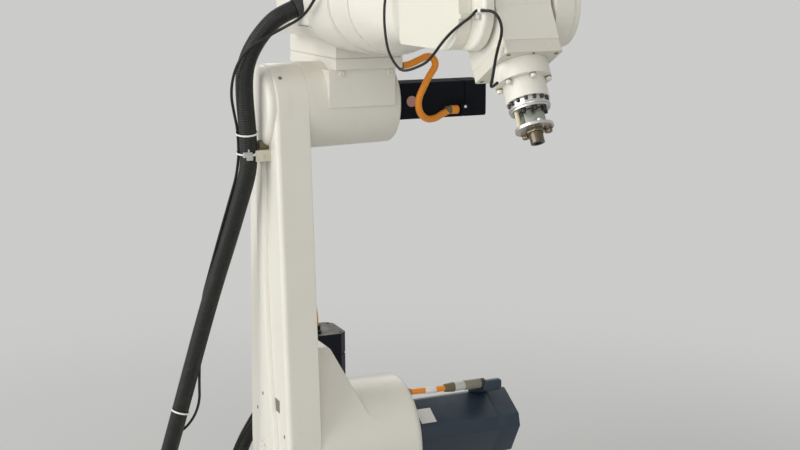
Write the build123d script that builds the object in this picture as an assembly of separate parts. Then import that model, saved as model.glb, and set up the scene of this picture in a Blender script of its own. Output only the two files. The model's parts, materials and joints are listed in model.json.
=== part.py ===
from build123d import *

import os
from math import cos, pi, radians, sin, tan

# A six-axis industrial robot arm, standing on a floor. Millimetres, +Z up, +X the way the arm reaches.
# The origin is on the turning axis of the turret, at the underside of the base.

# Joint axes
SHOULDER_X = 150
SHOULDER_Z = 450
UPPER_LINK = 640
ELBOW_OFFSET = 193
FOREARM_LINK = 647
WRIST_BEND = 61.5
ELBOW_Z = SHOULDER_Z + UPPER_LINK
FOREARM_Z = ELBOW_Z + ELBOW_OFFSET
WRIST_X = SHOULDER_X + FOREARM_LINK

# Running gaps between bodies
RUN_GAP = 0.3
FIT_GAP = 0.05

# Base
BASE_SIZE = 300
BASE_PLATE = 24
BASE_CORNER = 42
BASE_HOLE = 18
BASE_HOLE_EDGE = 30
BASE_BODY_EDGE = 32
BASE_BODY_CORNER = 70
BASE_PITCH = BASE_SIZE - 2 * BASE_HOLE_EDGE
BASE_BODY = BASE_SIZE - 2 * BASE_BODY_EDGE
BOLT_SEAT_RADIUS = 17
NECK_HEIGHT = 50
NECK_RADIUS = 120
NECK_TOP = 190
REAR_DEPTH = 62
REAR_WIDTH = 150
REAR_LOW = 34
REAR_HIGH = 168

# Turret
RING_RADIUS = 142
RING_HEIGHT = 46
DRUM_RADIUS = 115
DRUM_RIGHT = 125
DRUM_EDGE = 12
TURRET_LEFT = -68
TURRET_RIGHT = 104
COLUMN_FOOT = 236
LUG_RISE = 190
LUG_TOP = SHOULDER_Z + LUG_RISE
LUG_WIDE = 54
LUG_REAR = 20
LUG_FRONT = 160
LUG_ROUND = 10
LUG_SPREAD = 46
LUG_LOW = 112
SEAT_Z = 392
SEAT_REAR = -158
MOTOR_SIDE = 96
MOTOR_EDGE = 14
J1_MOTOR_X = -103
J1_MOTOR_Y = 52
J1_MOTOR_TOP = 597
J1_SOCKET = 18
J1_SOCKET_AHEAD = 25
J1_SOCKET_LEFT = 12
J2_MOTOR_SIDE = 106
J2_MOTOR_EDGE = 18
J2_MOTOR_TURN = 30
J2_MOTOR_DROP = 6
J2_MOTOR_FLANGE = 12
J2_MOTOR_END = 355
J2_BOSS_SIDE = 24
J2_LEAD_AHEAD = 50
J2_LEAD_RISE = 94
J2_BOSS_LENGTH = 30
J2_BOSS_DEEP = 35
MOTOR_CAP = 46

# Lower arm
ARM_LEFT = -138
ARM_RIGHT = -76
ARM_TOP_RADIUS = 76
ARM_LOW_RADIUS = 112
ARM_EDGE = 9
PANEL_RIM = 36
PANEL_HIGH = 12
CAP_HIGH = 12
CAP_DEEP = 6
CAP_RADIUS = 74
SADDLE_HALF = 22
SADDLE_HEIGHT = 28

# Elbow
ELBOW_DRUM_RADIUS = 77.5
ELBOW_DRUM_END_RADIUS = 74
ELBOW_DRUM_RIGHT = 100
SADDLE_BEHIND = 96
SADDLE_REAR = SHOULDER_X - SADDLE_BEHIND
SADDLE_LEFT = -39
SADDLE_RIGHT = 86
SADDLE_RISE = 66
SADDLE_TOP = ELBOW_Z + SADDLE_RISE
SADDLE_BOLTS = (-16, 75)
BOLT_POCKET = 16
BOX_AHEAD = 82
BOX_BEHIND = 156
BOX_FRONT = SHOULDER_X + BOX_AHEAD
BOX_REAR = SHOULDER_X - BOX_BEHIND
BOX_LEFT = -28
BOX_RIGHT = 98
BOX_SEAM = 19
SEAM_HIGH = 1.6
SEAM_DEEP = 1.2
HOUSING_BEHIND = 120
HOUSING_BOXED = 218
BARREL_LENGTH = 112
HOUSING_REAR = SHOULDER_X - HOUSING_BEHIND
HOUSING_SEAM = HOUSING_REAR + HOUSING_BOXED
HOUSING_FRONT = HOUSING_SEAM + BARREL_LENGTH
HOUSING_HALF = 82
HOUSING_LOW = 70
HOUSING_HIGH = 84
HOUSING_EDGE = 23
HOUSING_CORNER = 58
BARREL_RADIUS = 92
J3_MOTOR_SIDE = 66
J3_MOTOR_EDGE = 4
J3_MOTOR_END = 289
J3_PLUG_AHEAD = 42
J3_PLUG_OUT = 112
J3_PLUG_DROP = 18
J4_MOTOR_SIDE = 76
J4_MOTOR_EDGE = 8
J4_MOTOR_LENGTH = 128
J4_MOTOR_Y = 18
J4_MOTOR_RISE = 24

# Forearm
RING_LENGTH = 79
RING_FRONT = HOUSING_FRONT + RING_LENGTH
GEAR_RING_RADIUS = 88
TUBE_REAR_RADIUS = 86
TUBE_CONE = 150
TUBE_CORNER = 30
TUBE_FRONT_HALF = 58
TUBE_LEFT = -66
TUBE_RIGHT = 72
FORK_GAP = 85
COVER_BEHIND = 174
COVER_AHEAD = 20
TUBE_FRONT = WRIST_X - FORK_GAP
SIDE_COVER_REAR = WRIST_X - COVER_BEHIND
SIDE_COVER_FRONT = WRIST_X + COVER_AHEAD
SIDE_COVER_OUT = -80
SIDE_COVER_ROUND = 46
LEDGE_LOW = 13
LEDGE_HIGH = 7
LEDGE_OUT = 6
FORK_REAR = 60
FORK_RADIUS = 57
FORK_EDGE = 5
FORK_LEFT_OUT = -61
FORK_LEFT_IN = -46.5
FORK_RIGHT_IN = 46.5
FORK_RIGHT_OUT = 75
BELT_COVER_OUT = 83.5
BELT_COVER_REAR = 168
BELT_COVER_RADIUS = 50
CLIP_AHEAD = 47
CLIP_X = WRIST_X + CLIP_AHEAD
CLIP_LENGTH = 8
CLIP_HALF = 3
CLIP_HIGH = 6.3

# Hand and tool, as distances along the tool axis from the wrist axis
HAND_HALF = 41.5
HAND_FRONT = 46
HAND_BACK = 54
HAND_NECK = 69
HAND_FACE = 87
WRIST_RING_RADIUS = 38
WRIST_RING_END = 111
REDUCER_RADIUS = 29
REDUCER_END = 138
FLANGE_RADIUS = 25
FLANGE_END = 145
DISC_RADIUS = 27
DISC_END = 152
TOOL_BODY = 17
TOOL_BODY_END = 174
TOOL_PLATE_RADIUS = 26
TOOL_PLATE_END = 178
NOZZLE_RADIUS = 9.5
NOZZLE_END = 197

# Cables
CONDUIT = 31.5
LEAD = 12.5
MOTOR_LEAD = 11
SENSOR_CABLE = 5
WRIST_CABLE = 4
CLAMP_POINT = (179, -173, 1010)
GLAND_WALL = 4
ELBOW_GLAND_WALL = 2.5
ELBOW_GLAND = 18
TERMINAL_GLAND = 26
TERMINAL_X = -212
TERMINAL_Y = -14
TERMINAL_Z = 470
TERMINAL_TOP = 580
PLUG_LENGTH = 20
PLUG_RADIUS = 8
SOCKET_LENGTH = 15
SLEEVE = 20
NUT = 22

CONDUIT_LOWER = [
    CLAMP_POINT,
    (178, -173, 990),
    (170, -177, 962),
    (155, -184, 925),
    (134, -197, 862),
    (96, -229, 733),
    (40, -277, 512),
    (-14, -306, 358),
    (-82, -326, 212),
    (-138, -266, 142),
    (-200, -172, 142),
    (-243, -98, 212),
    (-240, -68, 310),
    (-222, -36, 380),
    (TERMINAL_X, TERMINAL_Y, TERMINAL_Z - 40),
    (TERMINAL_X, TERMINAL_Y, TERMINAL_Z),
]
CONDUIT_UPPER = [
    CLAMP_POINT,
    (180.6, -173, 1042),
    (186, -181, 1128),
    (192, -178, 1170),
    (197, -163, 1204),
    (200, -139, 1234),
    (203, -117, 1252),
    (206, -92, 1262),
]
SENSOR_JOINT = (171, -193, 1010)
SENSOR_UPPER = [
    (345, -91.8, 1292),
    (345, -101, 1292),
    (326, -103, 1277),
    (293, -101, 1261),
    (258, -104, 1246),
    (236, -119, 1234),
    (223, -144, 1219),
    (218, -169, 1206),
    (212, -187, 1191),
    (204, -200, 1170),
    (195, -207, 1144),
    (188, -209, 1115),
    (181, -203, 1082),
    (174, -194.2, 1050),
    SENSOR_JOINT,
]
SENSOR_LOWER = [
    SENSOR_JOINT,
    (168.6, -192.04, 978),
    (152, -202, 938),
    (126, -218, 862),
    (104, -235, 790),
    (77, -239, 733),
    (58, -237, 660),
    (54, -240, 600),
    (63, -244, 566),
    (59, -243, 538),
    (50, -248, 510),
    (37, -260, 483),
    (2, -274, 455),
    (-38, -296, 358),
    (-94, -313, 228),
    (-138, -266, 164),
    (-200, -172, 164),
    (-232, -114, 226),
    (-230, -90, 310),
    (-213, -58, 385),
    (-196, -36, 440),
    (-188, -30, 468),
    (-188, -30, TERMINAL_Z + TERMINAL_GLAND),
]
J1_LEAD = [
    (J1_MOTOR_X + J1_SOCKET_AHEAD, J1_MOTOR_Y - J1_SOCKET_LEFT, J1_MOTOR_TOP + J1_SOCKET),
    (J1_MOTOR_X + J1_SOCKET_AHEAD, J1_MOTOR_Y - J1_SOCKET_LEFT, J1_MOTOR_TOP + J1_SOCKET + 20),
    (-80, 36, 660),
    (-86, 24, 684),
    (-98, 4, 700),
    (-112, -16, 703),
    (-124, -34, 690),
    (-131, -44, 664),
    (-134, -47, 620),
    (-133, -44, 560),
    (-131, -40, 500),
    (-131, -37, 440),
    (-131, -37, SEAT_Z),
]
J2_LEAD = [
    (SHOULDER_X + J2_LEAD_AHEAD, DRUM_RIGHT - 7, SHOULDER_Z + J2_LEAD_RISE),
    (SHOULDER_X + J2_LEAD_AHEAD, DRUM_RIGHT + 15, SHOULDER_Z + J2_LEAD_RISE),
    (SHOULDER_X + J2_LEAD_AHEAD, DRUM_RIGHT + 43, SHOULDER_Z + J2_LEAD_RISE - 2),
    (SHOULDER_X + J2_LEAD_AHEAD, DRUM_RIGHT + 71, SHOULDER_Z + J2_LEAD_RISE - 2),
]
J3_LEAD = [
    (221, BOX_RIGHT, 1159),
    (221, 113, 1159),
    (222, 134, 1168),
    (222, 157, 1177),
    (222, 170, 1159),
    (222, 156, 1141),
    (222, 144, 1120),
    (221, 133, 1098),
    (217, 136, 1075),
    (210, 153, 1059),
    (201, 176, 1058),
    (194, 196, 1067),
    (SHOULDER_X + J3_PLUG_AHEAD, ELBOW_DRUM_RIGHT + J3_PLUG_OUT, ELBOW_Z - J3_PLUG_DROP),
]
WRIST_REAR = [
    (579, TUBE_LEFT - 1.4, 1308),
    (579, TUBE_LEFT - 13, 1308),
    (576, -87, 1288),
    (578, -90, 1262),
    (588, -92, 1236),
    (612, -93, 1214),
    (642, -94, 1201),
    (676, -94, 1193),
    (712, -94, 1190),
    (744, -93, 1199),
    (764, -91, 1214),
    (784, -89, 1231),
    (806, -86, 1247),
    (825, -80.5, 1261),
    (835, -70, 1274),
    (CLIP_X - 8, FORK_LEFT_OUT - 3.3, FOREARM_Z - 1),
    (CLIP_X, FORK_LEFT_OUT - 3.3, FOREARM_Z - 1),
]
WRIST_FRONT = [
    (CLIP_X + CLIP_LENGTH, FORK_LEFT_OUT - 3.3, FOREARM_Z - 1),
    (CLIP_X + CLIP_LENGTH + 8, FORK_LEFT_OUT - 3.3, FOREARM_Z - 1),
    (869, -58, 1282),
    (877, -53, 1275),
    (881, -50, 1263),
    (880, -50, 1250),
    (873, -50, 1238),
    (866, -50, 1224),
    (862, -50, 1210),
    (858, -50, 1198),
    (849, -47.1, 1190.2),
    (848.4, -38.25, 1189.7),
]

BASE = (Align.CENTER, Align.CENTER, Align.MIN)
nodes = {}


def block(x0, x1, y0, y1, z0, z1):
    """A box between two corners."""
    return Pos((x0 + x1) / 2, (y0 + y1) / 2, (z0 + z1) / 2) * Box(x1 - x0, y1 - y0, z1 - z0)


def bar_x(radius, x0, x1, y, z):
    """A round bar along X."""
    return Pos(x0, y, z) * Rot(0, 90, 0) * Cylinder(radius, x1 - x0, align=BASE)


def bar_y(radius, y0, y1, x, z):
    """A round bar along Y."""
    return Pos(x, y0, z) * Rot(-90, 0, 0) * Cylinder(radius, y1 - y0, align=BASE)


def cone_y(r0, r1, y0, y1, x, z):
    """A round bar along Y that tapers from one radius to another."""
    return Pos(x, y0, z) * Rot(-90, 0, 0) * Cone(r0, r1, y1 - y0, align=BASE)


def bar_z(radius, z0, z1, x, y):
    """A round bar along Z."""
    return Pos(x, y, z0) * Cylinder(radius, z1 - z0, align=BASE)


def side_slab(sketch, y_low, y_high):
    """A sketch drawn in X and Z, made solid between two places along Y."""
    return Pos(0, y_high, 0) * extrude(Plane.XZ * sketch, amount=y_high - y_low)


def tapered_link(x0, z0, r0, x1, z1, r1):
    """The outline of two circles and their outer tangents."""
    ends = (Pos(x0, z0) * Circle(r0)).edges() + (Pos(x1, z1) * Circle(r1)).edges()
    return make_hull(ends)


def motor(length, side, edge):
    """A square motor with chamfered corners along +Z: its body, a neck groove and its end cap."""
    section = chamfer(Rectangle(side, side).vertices(), edge)
    body = extrude(section, amount=length)
    ring = extrude(section, amount=3) - extrude(offset(section, -2), amount=3)
    groove = Pos(0, 0, length - MOTOR_CAP) * ring
    return body - groove


def along(axis_point, direction, solid, turn=0):
    """Stands a solid that was made along +Z on a point, pointing in a direction."""
    return Plane(origin=axis_point, z_dir=direction).location * Rot(0, 0, turn) * solid


def hand_place(distance):
    """The location on the tool axis at a distance from the wrist, with local X along Y."""
    tool = Vector(cos(radians(WRIST_BEND)), 0, -sin(radians(WRIST_BEND)))
    origin = Vector(WRIST_X, 0, FOREARM_Z) + tool * distance
    return Plane(origin=origin, x_dir=(0, 1, 0), z_dir=tool).location


def tube(points, diameter, name):
    """A cable along straight runs joined by tangent arcs. Prints its length and its radii."""
    stops = [Vector(*p) for p in points]
    radii = []
    for before, here, after in zip(stops, stops[1:], stops[2:]):
        turn = radians((here - before).get_angle(after - here))
        shorter = min((here - before).length, (after - here).length)
        radii.append(0.45 * shorter / tan(turn / 2))
    path = FilletPolyline(*stops, radius=radii)
    start = Plane(origin=path @ 0, z_dir=path % 0)
    solid = sweep(start * Circle(diameter / 2), path=path)
    share = solid.volume / (pi * diameter**2 / 4 * path.length)
    print(f"{name}: length {path.length:.0f}, volume share {share:.3f}, radii", [round(r) for r in radii])
    return solid


def base_casting():
    """The floor flange with its bolt holes, the square foot that turns round, and the neck."""
    plate = extrude(RectangleRounded(BASE_SIZE, BASE_SIZE, BASE_CORNER), amount=BASE_PLATE)
    plate = chamfer(plate.edges().group_by(Axis.Z)[-1], 3)
    foot = loft(
        [
            Pos(0, 0, BASE_PLATE) * RectangleRounded(BASE_BODY, BASE_BODY, BASE_BODY_CORNER),
            Pos(0, 0, NECK_TOP - NECK_HEIGHT) * Circle(NECK_RADIUS),
        ]
    )
    neck = bar_z(NECK_RADIUS, NECK_TOP - NECK_HEIGHT, NECK_TOP - RUN_GAP, 0, 0)
    bolts = GridLocations(BASE_PITCH, BASE_PITCH, 2, 2)
    holes = Pos(0, 0, -1) * bolts * Cylinder(BASE_HOLE / 2, BASE_PLATE + 2, align=BASE)
    seats = Pos(0, 0, BASE_PLATE - 2) * bolts * Cylinder(BOLT_SEAT_RADIUS, 60, align=BASE)
    return plate + foot + neck - holes - seats


def rear_housing(casting):
    """The connector box at the back of the base."""
    x0 = -BASE_SIZE / 2 - REAR_DEPTH + 10
    shell = block(x0, -90, -REAR_WIDTH / 2, REAR_WIDTH / 2, REAR_LOW, REAR_HIGH)
    shell = fillet(shell.edges().filter_by(Axis.X), 10)
    return shell - casting


def connector_panel():
    """The panel of the connector box: two round connectors and an air coupling."""
    x0 = -BASE_SIZE / 2 - REAR_DEPTH + 10
    panel = block(x0 - 4, x0, -62, 62, REAR_LOW + 12, REAR_HIGH - 12)
    power = bar_x(24, x0 - 22, x0 - 4, -28, 94) - bar_x(19, x0 - 23, x0 - 10, -28, 94)
    signal = bar_x(19, x0 - 20, x0 - 4, 28, 98) - bar_x(15, x0 - 21, x0 - 10, 28, 98)
    air = bar_x(8, x0 - 20, x0 - 4, 30, 60) - bar_x(4, x0 - 21, x0 - 10, 30, 60)
    return panel + power + signal + air


def turret_casting():
    """The turning ring, the leaning column, the shoulder drum, the lug beside the arm and the motor seat."""
    ring = bar_z(RING_RADIUS, NECK_TOP, NECK_TOP + RING_HEIGHT, 0, 0)
    ring = fillet(ring.edges().group_by(Axis.Z)[-1], 8)
    foot = (Pos(0, NECK_TOP + RING_HEIGHT) * Rectangle(COLUMN_FOOT, 40)).edges()
    column_outline = make_hull((Pos(SHOULDER_X, SHOULDER_Z) * Circle(DRUM_RADIUS)).edges() + foot)
    column = side_slab(column_outline, TURRET_LEFT, TURRET_RIGHT)
    drum = bar_y(DRUM_RADIUS, ARM_RIGHT + RUN_GAP, DRUM_RIGHT, SHOULDER_X, SHOULDER_Z)
    drum = fillet(drum.edges().group_by(Axis.Y)[-1], DRUM_EDGE)
    lug_left = ARM_RIGHT + RUN_GAP
    lug_face = Polyline(
        (lug_left, SHOULDER_Z),
        (lug_left, LUG_TOP),
        (lug_left + LUG_WIDE, LUG_TOP),
        (lug_left + LUG_WIDE + LUG_SPREAD, LUG_TOP - LUG_LOW),
        (DRUM_RIGHT - DRUM_EDGE, SHOULDER_Z),
        close=True,
    )
    lug = extrude(Plane.YZ * make_face(lug_face), amount=2 * SHOULDER_X)
    top_edge = lug.edges().filter_by(Axis.X).group_by(Axis.Z)[-1].sort_by(Axis.Y)[-1]
    lug = fillet(top_edge, LUG_ROUND)
    lug_end = (Pos((LUG_REAR + LUG_FRONT) / 2, LUG_TOP - 1) * Rectangle(LUG_FRONT - LUG_REAR, 2)).edges()
    lug_side = make_hull((Pos(SHOULDER_X, SHOULDER_Z) * Circle(DRUM_RADIUS)).edges() + lug_end)
    lug = lug & side_slab(lug_side, lug_left, DRUM_RIGHT - DRUM_EDGE)
    seat = block(SEAT_REAR, -40, TURRET_LEFT, TURRET_RIGHT, NECK_TOP + 20, SEAT_Z)
    seat = fillet(seat.edges().filter_by(Axis.Z), 14)
    x, y, z = J2_LEAD[0]
    inlet = bar_y(MOTOR_LEAD / 2 + FIT_GAP, y, DRUM_RIGHT + 1, x, z)
    return ring + column + drum + lug + seat - inlet


def j1_motor():
    """The upright motor that turns the turret."""
    body = motor(J1_MOTOR_TOP - SEAT_Z, MOTOR_SIDE, MOTOR_EDGE)
    x, y, z = J1_LEAD[0]
    return Pos(J1_MOTOR_X, J1_MOTOR_Y, SEAT_Z) * body + bar_z(MOTOR_LEAD / 2 + 4, J1_MOTOR_TOP - 2, z, x, y)


def j2_motor_flange():
    """The square flange between the shoulder drum and its motor."""
    section = chamfer(Rectangle(J2_MOTOR_SIDE + 6, J2_MOTOR_SIDE + 6).vertices(), J2_MOTOR_EDGE)
    plate = extrude(section, amount=J2_MOTOR_FLANGE)
    return along((SHOULDER_X, DRUM_RIGHT, SHOULDER_Z - J2_MOTOR_DROP), (0, 1, 0), plate, J2_MOTOR_TURN)


def j2_motor():
    """The shoulder motor, turned about its axis, with the boss that its lead plugs into."""
    start = DRUM_RIGHT + J2_MOTOR_FLANGE
    body = motor(J2_MOTOR_END - start, J2_MOTOR_SIDE, J2_MOTOR_EDGE)
    body = along((SHOULDER_X, start, SHOULDER_Z - J2_MOTOR_DROP), (0, 1, 0), body, J2_MOTOR_TURN)
    x, y, z = J2_LEAD[-1]
    rear = x - J2_BOSS_SIDE * 2 / 3
    start = y + 2 * SLEEVE + 2 * NUT
    low = SHOULDER_Z - J2_MOTOR_DROP + J2_MOTOR_SIDE / 2 - J2_BOSS_DEEP
    return body + block(rear, rear + J2_BOSS_SIDE, start, start + J2_BOSS_LENGTH, low, z + 9)


def j2_plug():
    """The connector of the shoulder motor's lead: a sleeve, a nut, a sleeve and a nut."""
    x, y, z = J2_LEAD[-1]
    shape = bar_y(9.5, y, y + SLEEVE, x, z)
    shape += bar_y(8.5, y + SLEEVE, y + SLEEVE + NUT, x, z)
    shape += bar_y(9.5, y + SLEEVE + NUT, y + 2 * SLEEVE + 2 * NUT, x, z)
    return shape


def terminal_box():
    """The box behind the turret that the conduit goes into."""
    low = TERMINAL_Z + TERMINAL_GLAND
    box = block(TERMINAL_X - 36, SEAT_REAR - 8, TERMINAL_Y - 24, TERMINAL_Y + 24, low, TERMINAL_TOP)
    return fillet(box.edges().filter_by(Axis.X), 5)


def terminal_bracket():
    """The upright plate that carries the box on the motor seat."""
    plate = block(SEAT_REAR - 8, SEAT_REAR, TERMINAL_Y - 22, TERMINAL_Y + 22, SEAT_Z - 62, TERMINAL_TOP - 14)
    return fillet(plate.edges().filter_by(Axis.X), 8)


def terminal_gland():
    """The gland under the box."""
    shape = Cylinder(CONDUIT / 2 + GLAND_WALL, TERMINAL_GLAND, align=BASE)
    return Pos(TERMINAL_X, TERMINAL_Y, TERMINAL_Z) * shape


def lower_arm_casting():
    """The tapered arm between shoulder and elbow, with rounded outer edges."""
    outline = tapered_link(SHOULDER_X, ELBOW_Z, ARM_TOP_RADIUS, SHOULDER_X, SHOULDER_Z, ARM_LOW_RADIUS)
    arm = side_slab(outline, ARM_LEFT, ARM_RIGHT)
    arm = fillet(arm.edges().group_by(Axis.Y)[0], ARM_EDGE)
    return arm - bar_y(CAP_RADIUS + FIT_GAP, ARM_LEFT - 1, ARM_LEFT + CAP_DEEP, SHOULDER_X, ELBOW_Z)


def arm_cap():
    """The domed cap over the elbow end of the arm."""
    cap = bar_y(CAP_RADIUS, ARM_LEFT - CAP_HIGH, ARM_LEFT + CAP_DEEP, SHOULDER_X, ELBOW_Z)
    return fillet(cap.edges().group_by(Axis.Y)[0], CAP_HIGH - 1)


def arm_panel():
    """The raised panel along the middle of the arm's outer side, below the cap."""
    outline = tapered_link(
        SHOULDER_X,
        ELBOW_Z,
        ARM_TOP_RADIUS - PANEL_RIM,
        SHOULDER_X,
        SHOULDER_Z,
        ARM_LOW_RADIUS - PANEL_RIM,
    )
    panel = side_slab(outline, ARM_LEFT - PANEL_HIGH, ARM_LEFT)
    panel = chamfer(panel.edges().group_by(Axis.Y)[0], 5)
    return panel - bar_y(CAP_RADIUS + FIT_GAP, ARM_LEFT - CAP_HIGH, ARM_LEFT, SHOULDER_X, ELBOW_Z)


def hose_saddle():
    """The block on the arm's side that the conduit is strapped to."""
    x, y, z = CLAMP_POINT
    half = SADDLE_HEIGHT / 2
    saddle = block(x - SADDLE_HALF, x + SADDLE_HALF, y + 2, ARM_LEFT - PANEL_HIGH, z - half, z + half)
    return saddle - bar_z(CONDUIT / 2 + 2.5, z - half - 1, z + half + 1, x, y)


def elbow_drum():
    """The elbow drum, with the square saddle that carries the housing and the pockets of its bolts."""
    left = ARM_RIGHT + RUN_GAP
    drum = cone_y(ELBOW_DRUM_RADIUS, ELBOW_DRUM_END_RADIUS, left, ELBOW_DRUM_RIGHT, SHOULDER_X, ELBOW_Z)
    drum = fillet(drum.edges().group_by(Axis.Y)[-1], 5)
    front = SHOULDER_X + ELBOW_DRUM_RADIUS
    saddle = block(SADDLE_REAR, front, SADDLE_LEFT, SADDLE_RIGHT, ELBOW_Z, SADDLE_TOP)
    for y in SADDLE_BOLTS:
        low = SADDLE_TOP - BOLT_POCKET
        saddle -= block(front - BOLT_POCKET, front + 1, y - BOLT_POCKET / 2, y + BOLT_POCKET / 2, low, SADDLE_TOP)
    return drum + saddle


def elbow_gland():
    """The gland that takes the conduit into the elbow housing."""
    start = Vector(*CONDUIT_UPPER[-1])
    heading = start - Vector(*CONDUIT_UPPER[-2])
    return along(start, heading, Cylinder(CONDUIT / 2 + ELBOW_GLAND_WALL, ELBOW_GLAND, align=BASE))


def housing_rear():
    """The rear of the elbow housing: a box with chamfered edges and round corners in plan."""
    middle = FOREARM_Z + (HOUSING_HIGH - HOUSING_LOW) / 2
    outline = Rectangle(2 * HOUSING_HALF, HOUSING_HIGH + HOUSING_LOW)
    outline = Pos(0, middle) * chamfer(outline.vertices(), HOUSING_EDGE)
    start = Plane((HOUSING_REAR, 0, 0), x_dir=(0, 1, 0), z_dir=(1, 0, 0))
    length = HOUSING_SEAM - HOUSING_REAR
    body = extrude(start * outline, amount=length)
    plan = Pos(HOUSING_SEAM, 0) * RectangleRounded(2 * length, 2 * HOUSING_HALF, HOUSING_CORNER)
    return body & Pos(0, 0, FOREARM_Z - HOUSING_LOW) * extrude(plan, amount=HOUSING_LOW + HOUSING_HIGH)


def elbow_housing(gland):
    """The box on the saddle and, on top of it, the housing of the forearm's bearing."""
    top = FOREARM_Z - HOUSING_LOW + 2
    box = block(BOX_REAR, BOX_FRONT, BOX_LEFT, BOX_RIGHT, SADDLE_TOP, top)
    seam_low = SADDLE_TOP + BOX_SEAM
    seam = block(BOX_REAR - 1, BOX_FRONT + 1, BOX_LEFT - 1, BOX_RIGHT + 1, seam_low, seam_low + SEAM_HIGH)
    seam -= block(
        BOX_REAR + SEAM_DEEP,
        BOX_FRONT - SEAM_DEEP,
        BOX_LEFT + SEAM_DEEP,
        BOX_RIGHT - SEAM_DEEP,
        seam_low,
        seam_low + SEAM_HIGH,
    )
    barrel = bar_x(BARREL_RADIUS, HOUSING_SEAM, HOUSING_FRONT, 0, FOREARM_Z)
    seat = cone_y(
        ELBOW_DRUM_RADIUS + RUN_GAP,
        ELBOW_DRUM_END_RADIUS + RUN_GAP,
        ARM_RIGHT + RUN_GAP,
        ELBOW_DRUM_RIGHT,
        SHOULDER_X,
        ELBOW_Z,
    )
    return box - seam + barrel + housing_rear() - seat - gland


def j3_motor():
    """The elbow motor, with the socket of its lead on the front."""
    body = motor(J3_MOTOR_END - ELBOW_DRUM_RIGHT, J3_MOTOR_SIDE, J3_MOTOR_EDGE)
    body = along((SHOULDER_X, ELBOW_DRUM_RIGHT, ELBOW_Z), (0, 1, 0), body)
    x, y, z = J3_LEAD[-1]
    front = SHOULDER_X + J3_MOTOR_SIDE / 2
    start = y + PLUG_LENGTH
    return body + block(front - 2, x + PLUG_RADIUS + 1, start, start + SOCKET_LENGTH, z - 10, z + 10)


def j4_motor():
    """The motor of the forearm's turning axis, behind the housing."""
    body = motor(J4_MOTOR_LENGTH, J4_MOTOR_SIDE, J4_MOTOR_EDGE)
    return along((HOUSING_REAR, J4_MOTOR_Y, FOREARM_Z + J4_MOTOR_RISE), (-1, 0, 0), body)


def j3_plug():
    """The plug of the elbow motor's lead, beside the motor's front face."""
    x, y, z = J3_LEAD[-1]
    return bar_y(PLUG_RADIUS, y, y + PLUG_LENGTH, x, z)


def gear_ring():
    """The ring that turns against the elbow housing."""
    return bar_x(GEAR_RING_RADIUS, HOUSING_FRONT + RUN_GAP, RING_FRONT, 0, FOREARM_Z)


def forearm_casting():
    """The tapering tube and the fork that carries the hand."""
    middle = (TUBE_LEFT + TUBE_RIGHT) / 2
    rear = Plane((RING_FRONT, 0, 0), x_dir=(0, 1, 0), z_dir=(1, 0, 0))
    front = Plane((RING_FRONT + TUBE_CONE, 0, 0), x_dir=(0, 1, 0), z_dir=(1, 0, 0))
    section = RectangleRounded(TUBE_RIGHT - TUBE_LEFT, 2 * TUBE_FRONT_HALF, TUBE_CORNER)
    section = front * Pos(middle, FOREARM_Z) * section
    cone = loft([rear * Pos(0, FOREARM_Z) * Circle(TUBE_REAR_RADIUS), section])
    shape = cone + extrude(section, amount=TUBE_FRONT - RING_FRONT - TUBE_CONE)
    fork = tapered_link(TUBE_FRONT - FORK_REAR, FOREARM_Z, FORK_RADIUS, WRIST_X, FOREARM_Z, FORK_RADIUS)
    left = side_slab(fork, FORK_LEFT_OUT, FORK_LEFT_IN)
    left = fillet(left.edges().group_by(Axis.Y)[0], FORK_EDGE)
    return shape + left + side_slab(fork, FORK_RIGHT_IN, FORK_RIGHT_OUT)


def belt_cover():
    """The flat cover on the right side of the forearm, over the wrist's belts."""
    rear = WRIST_X - BELT_COVER_REAR
    outline = tapered_link(rear, FOREARM_Z, BELT_COVER_RADIUS, WRIST_X, FOREARM_Z, FORK_RADIUS - 1)
    return side_slab(outline, FORK_RIGHT_OUT, BELT_COVER_OUT)


def side_cover():
    """The flat cover on the left side of the forearm, with its large round corner and the ledge below it."""
    outline = Rectangle(SIDE_COVER_FRONT - SIDE_COVER_REAR, 2 * TUBE_FRONT_HALF - 2)
    low_corner = outline.vertices().group_by(Axis.X)[-1].sort_by(Axis.Y)[0]
    outline = fillet(low_corner, SIDE_COVER_ROUND)
    outline = fillet(outline.vertices().group_by(Axis.X)[0], 8)
    outline = Pos((SIDE_COVER_FRONT + SIDE_COVER_REAR) / 2, FOREARM_Z) * outline
    cover = side_slab(outline, SIDE_COVER_OUT, TUBE_LEFT)
    inner = side_slab(outline, TUBE_LEFT, FORK_LEFT_OUT)
    cover += inner & block(TUBE_FRONT, SIDE_COVER_FRONT, TUBE_LEFT, FORK_LEFT_OUT, FOREARM_Z - 99, FOREARM_Z + 99)
    low = FOREARM_Z - LEDGE_LOW
    front = SIDE_COVER_FRONT + LEDGE_OUT
    return cover + block(front - 2 * LEDGE_OUT, front, SIDE_COVER_OUT, FORK_LEFT_OUT, low, low + LEDGE_HIGH)


def cable_clip():
    """The clip on the fork that holds the wrist's cable."""
    x, y, z = WRIST_REAR[-1]
    return block(CLIP_X, CLIP_X + CLIP_LENGTH, y - CLIP_HALF, FORK_LEFT_OUT, z - CLIP_HIGH / 2, z + CLIP_HIGH / 2)


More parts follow.
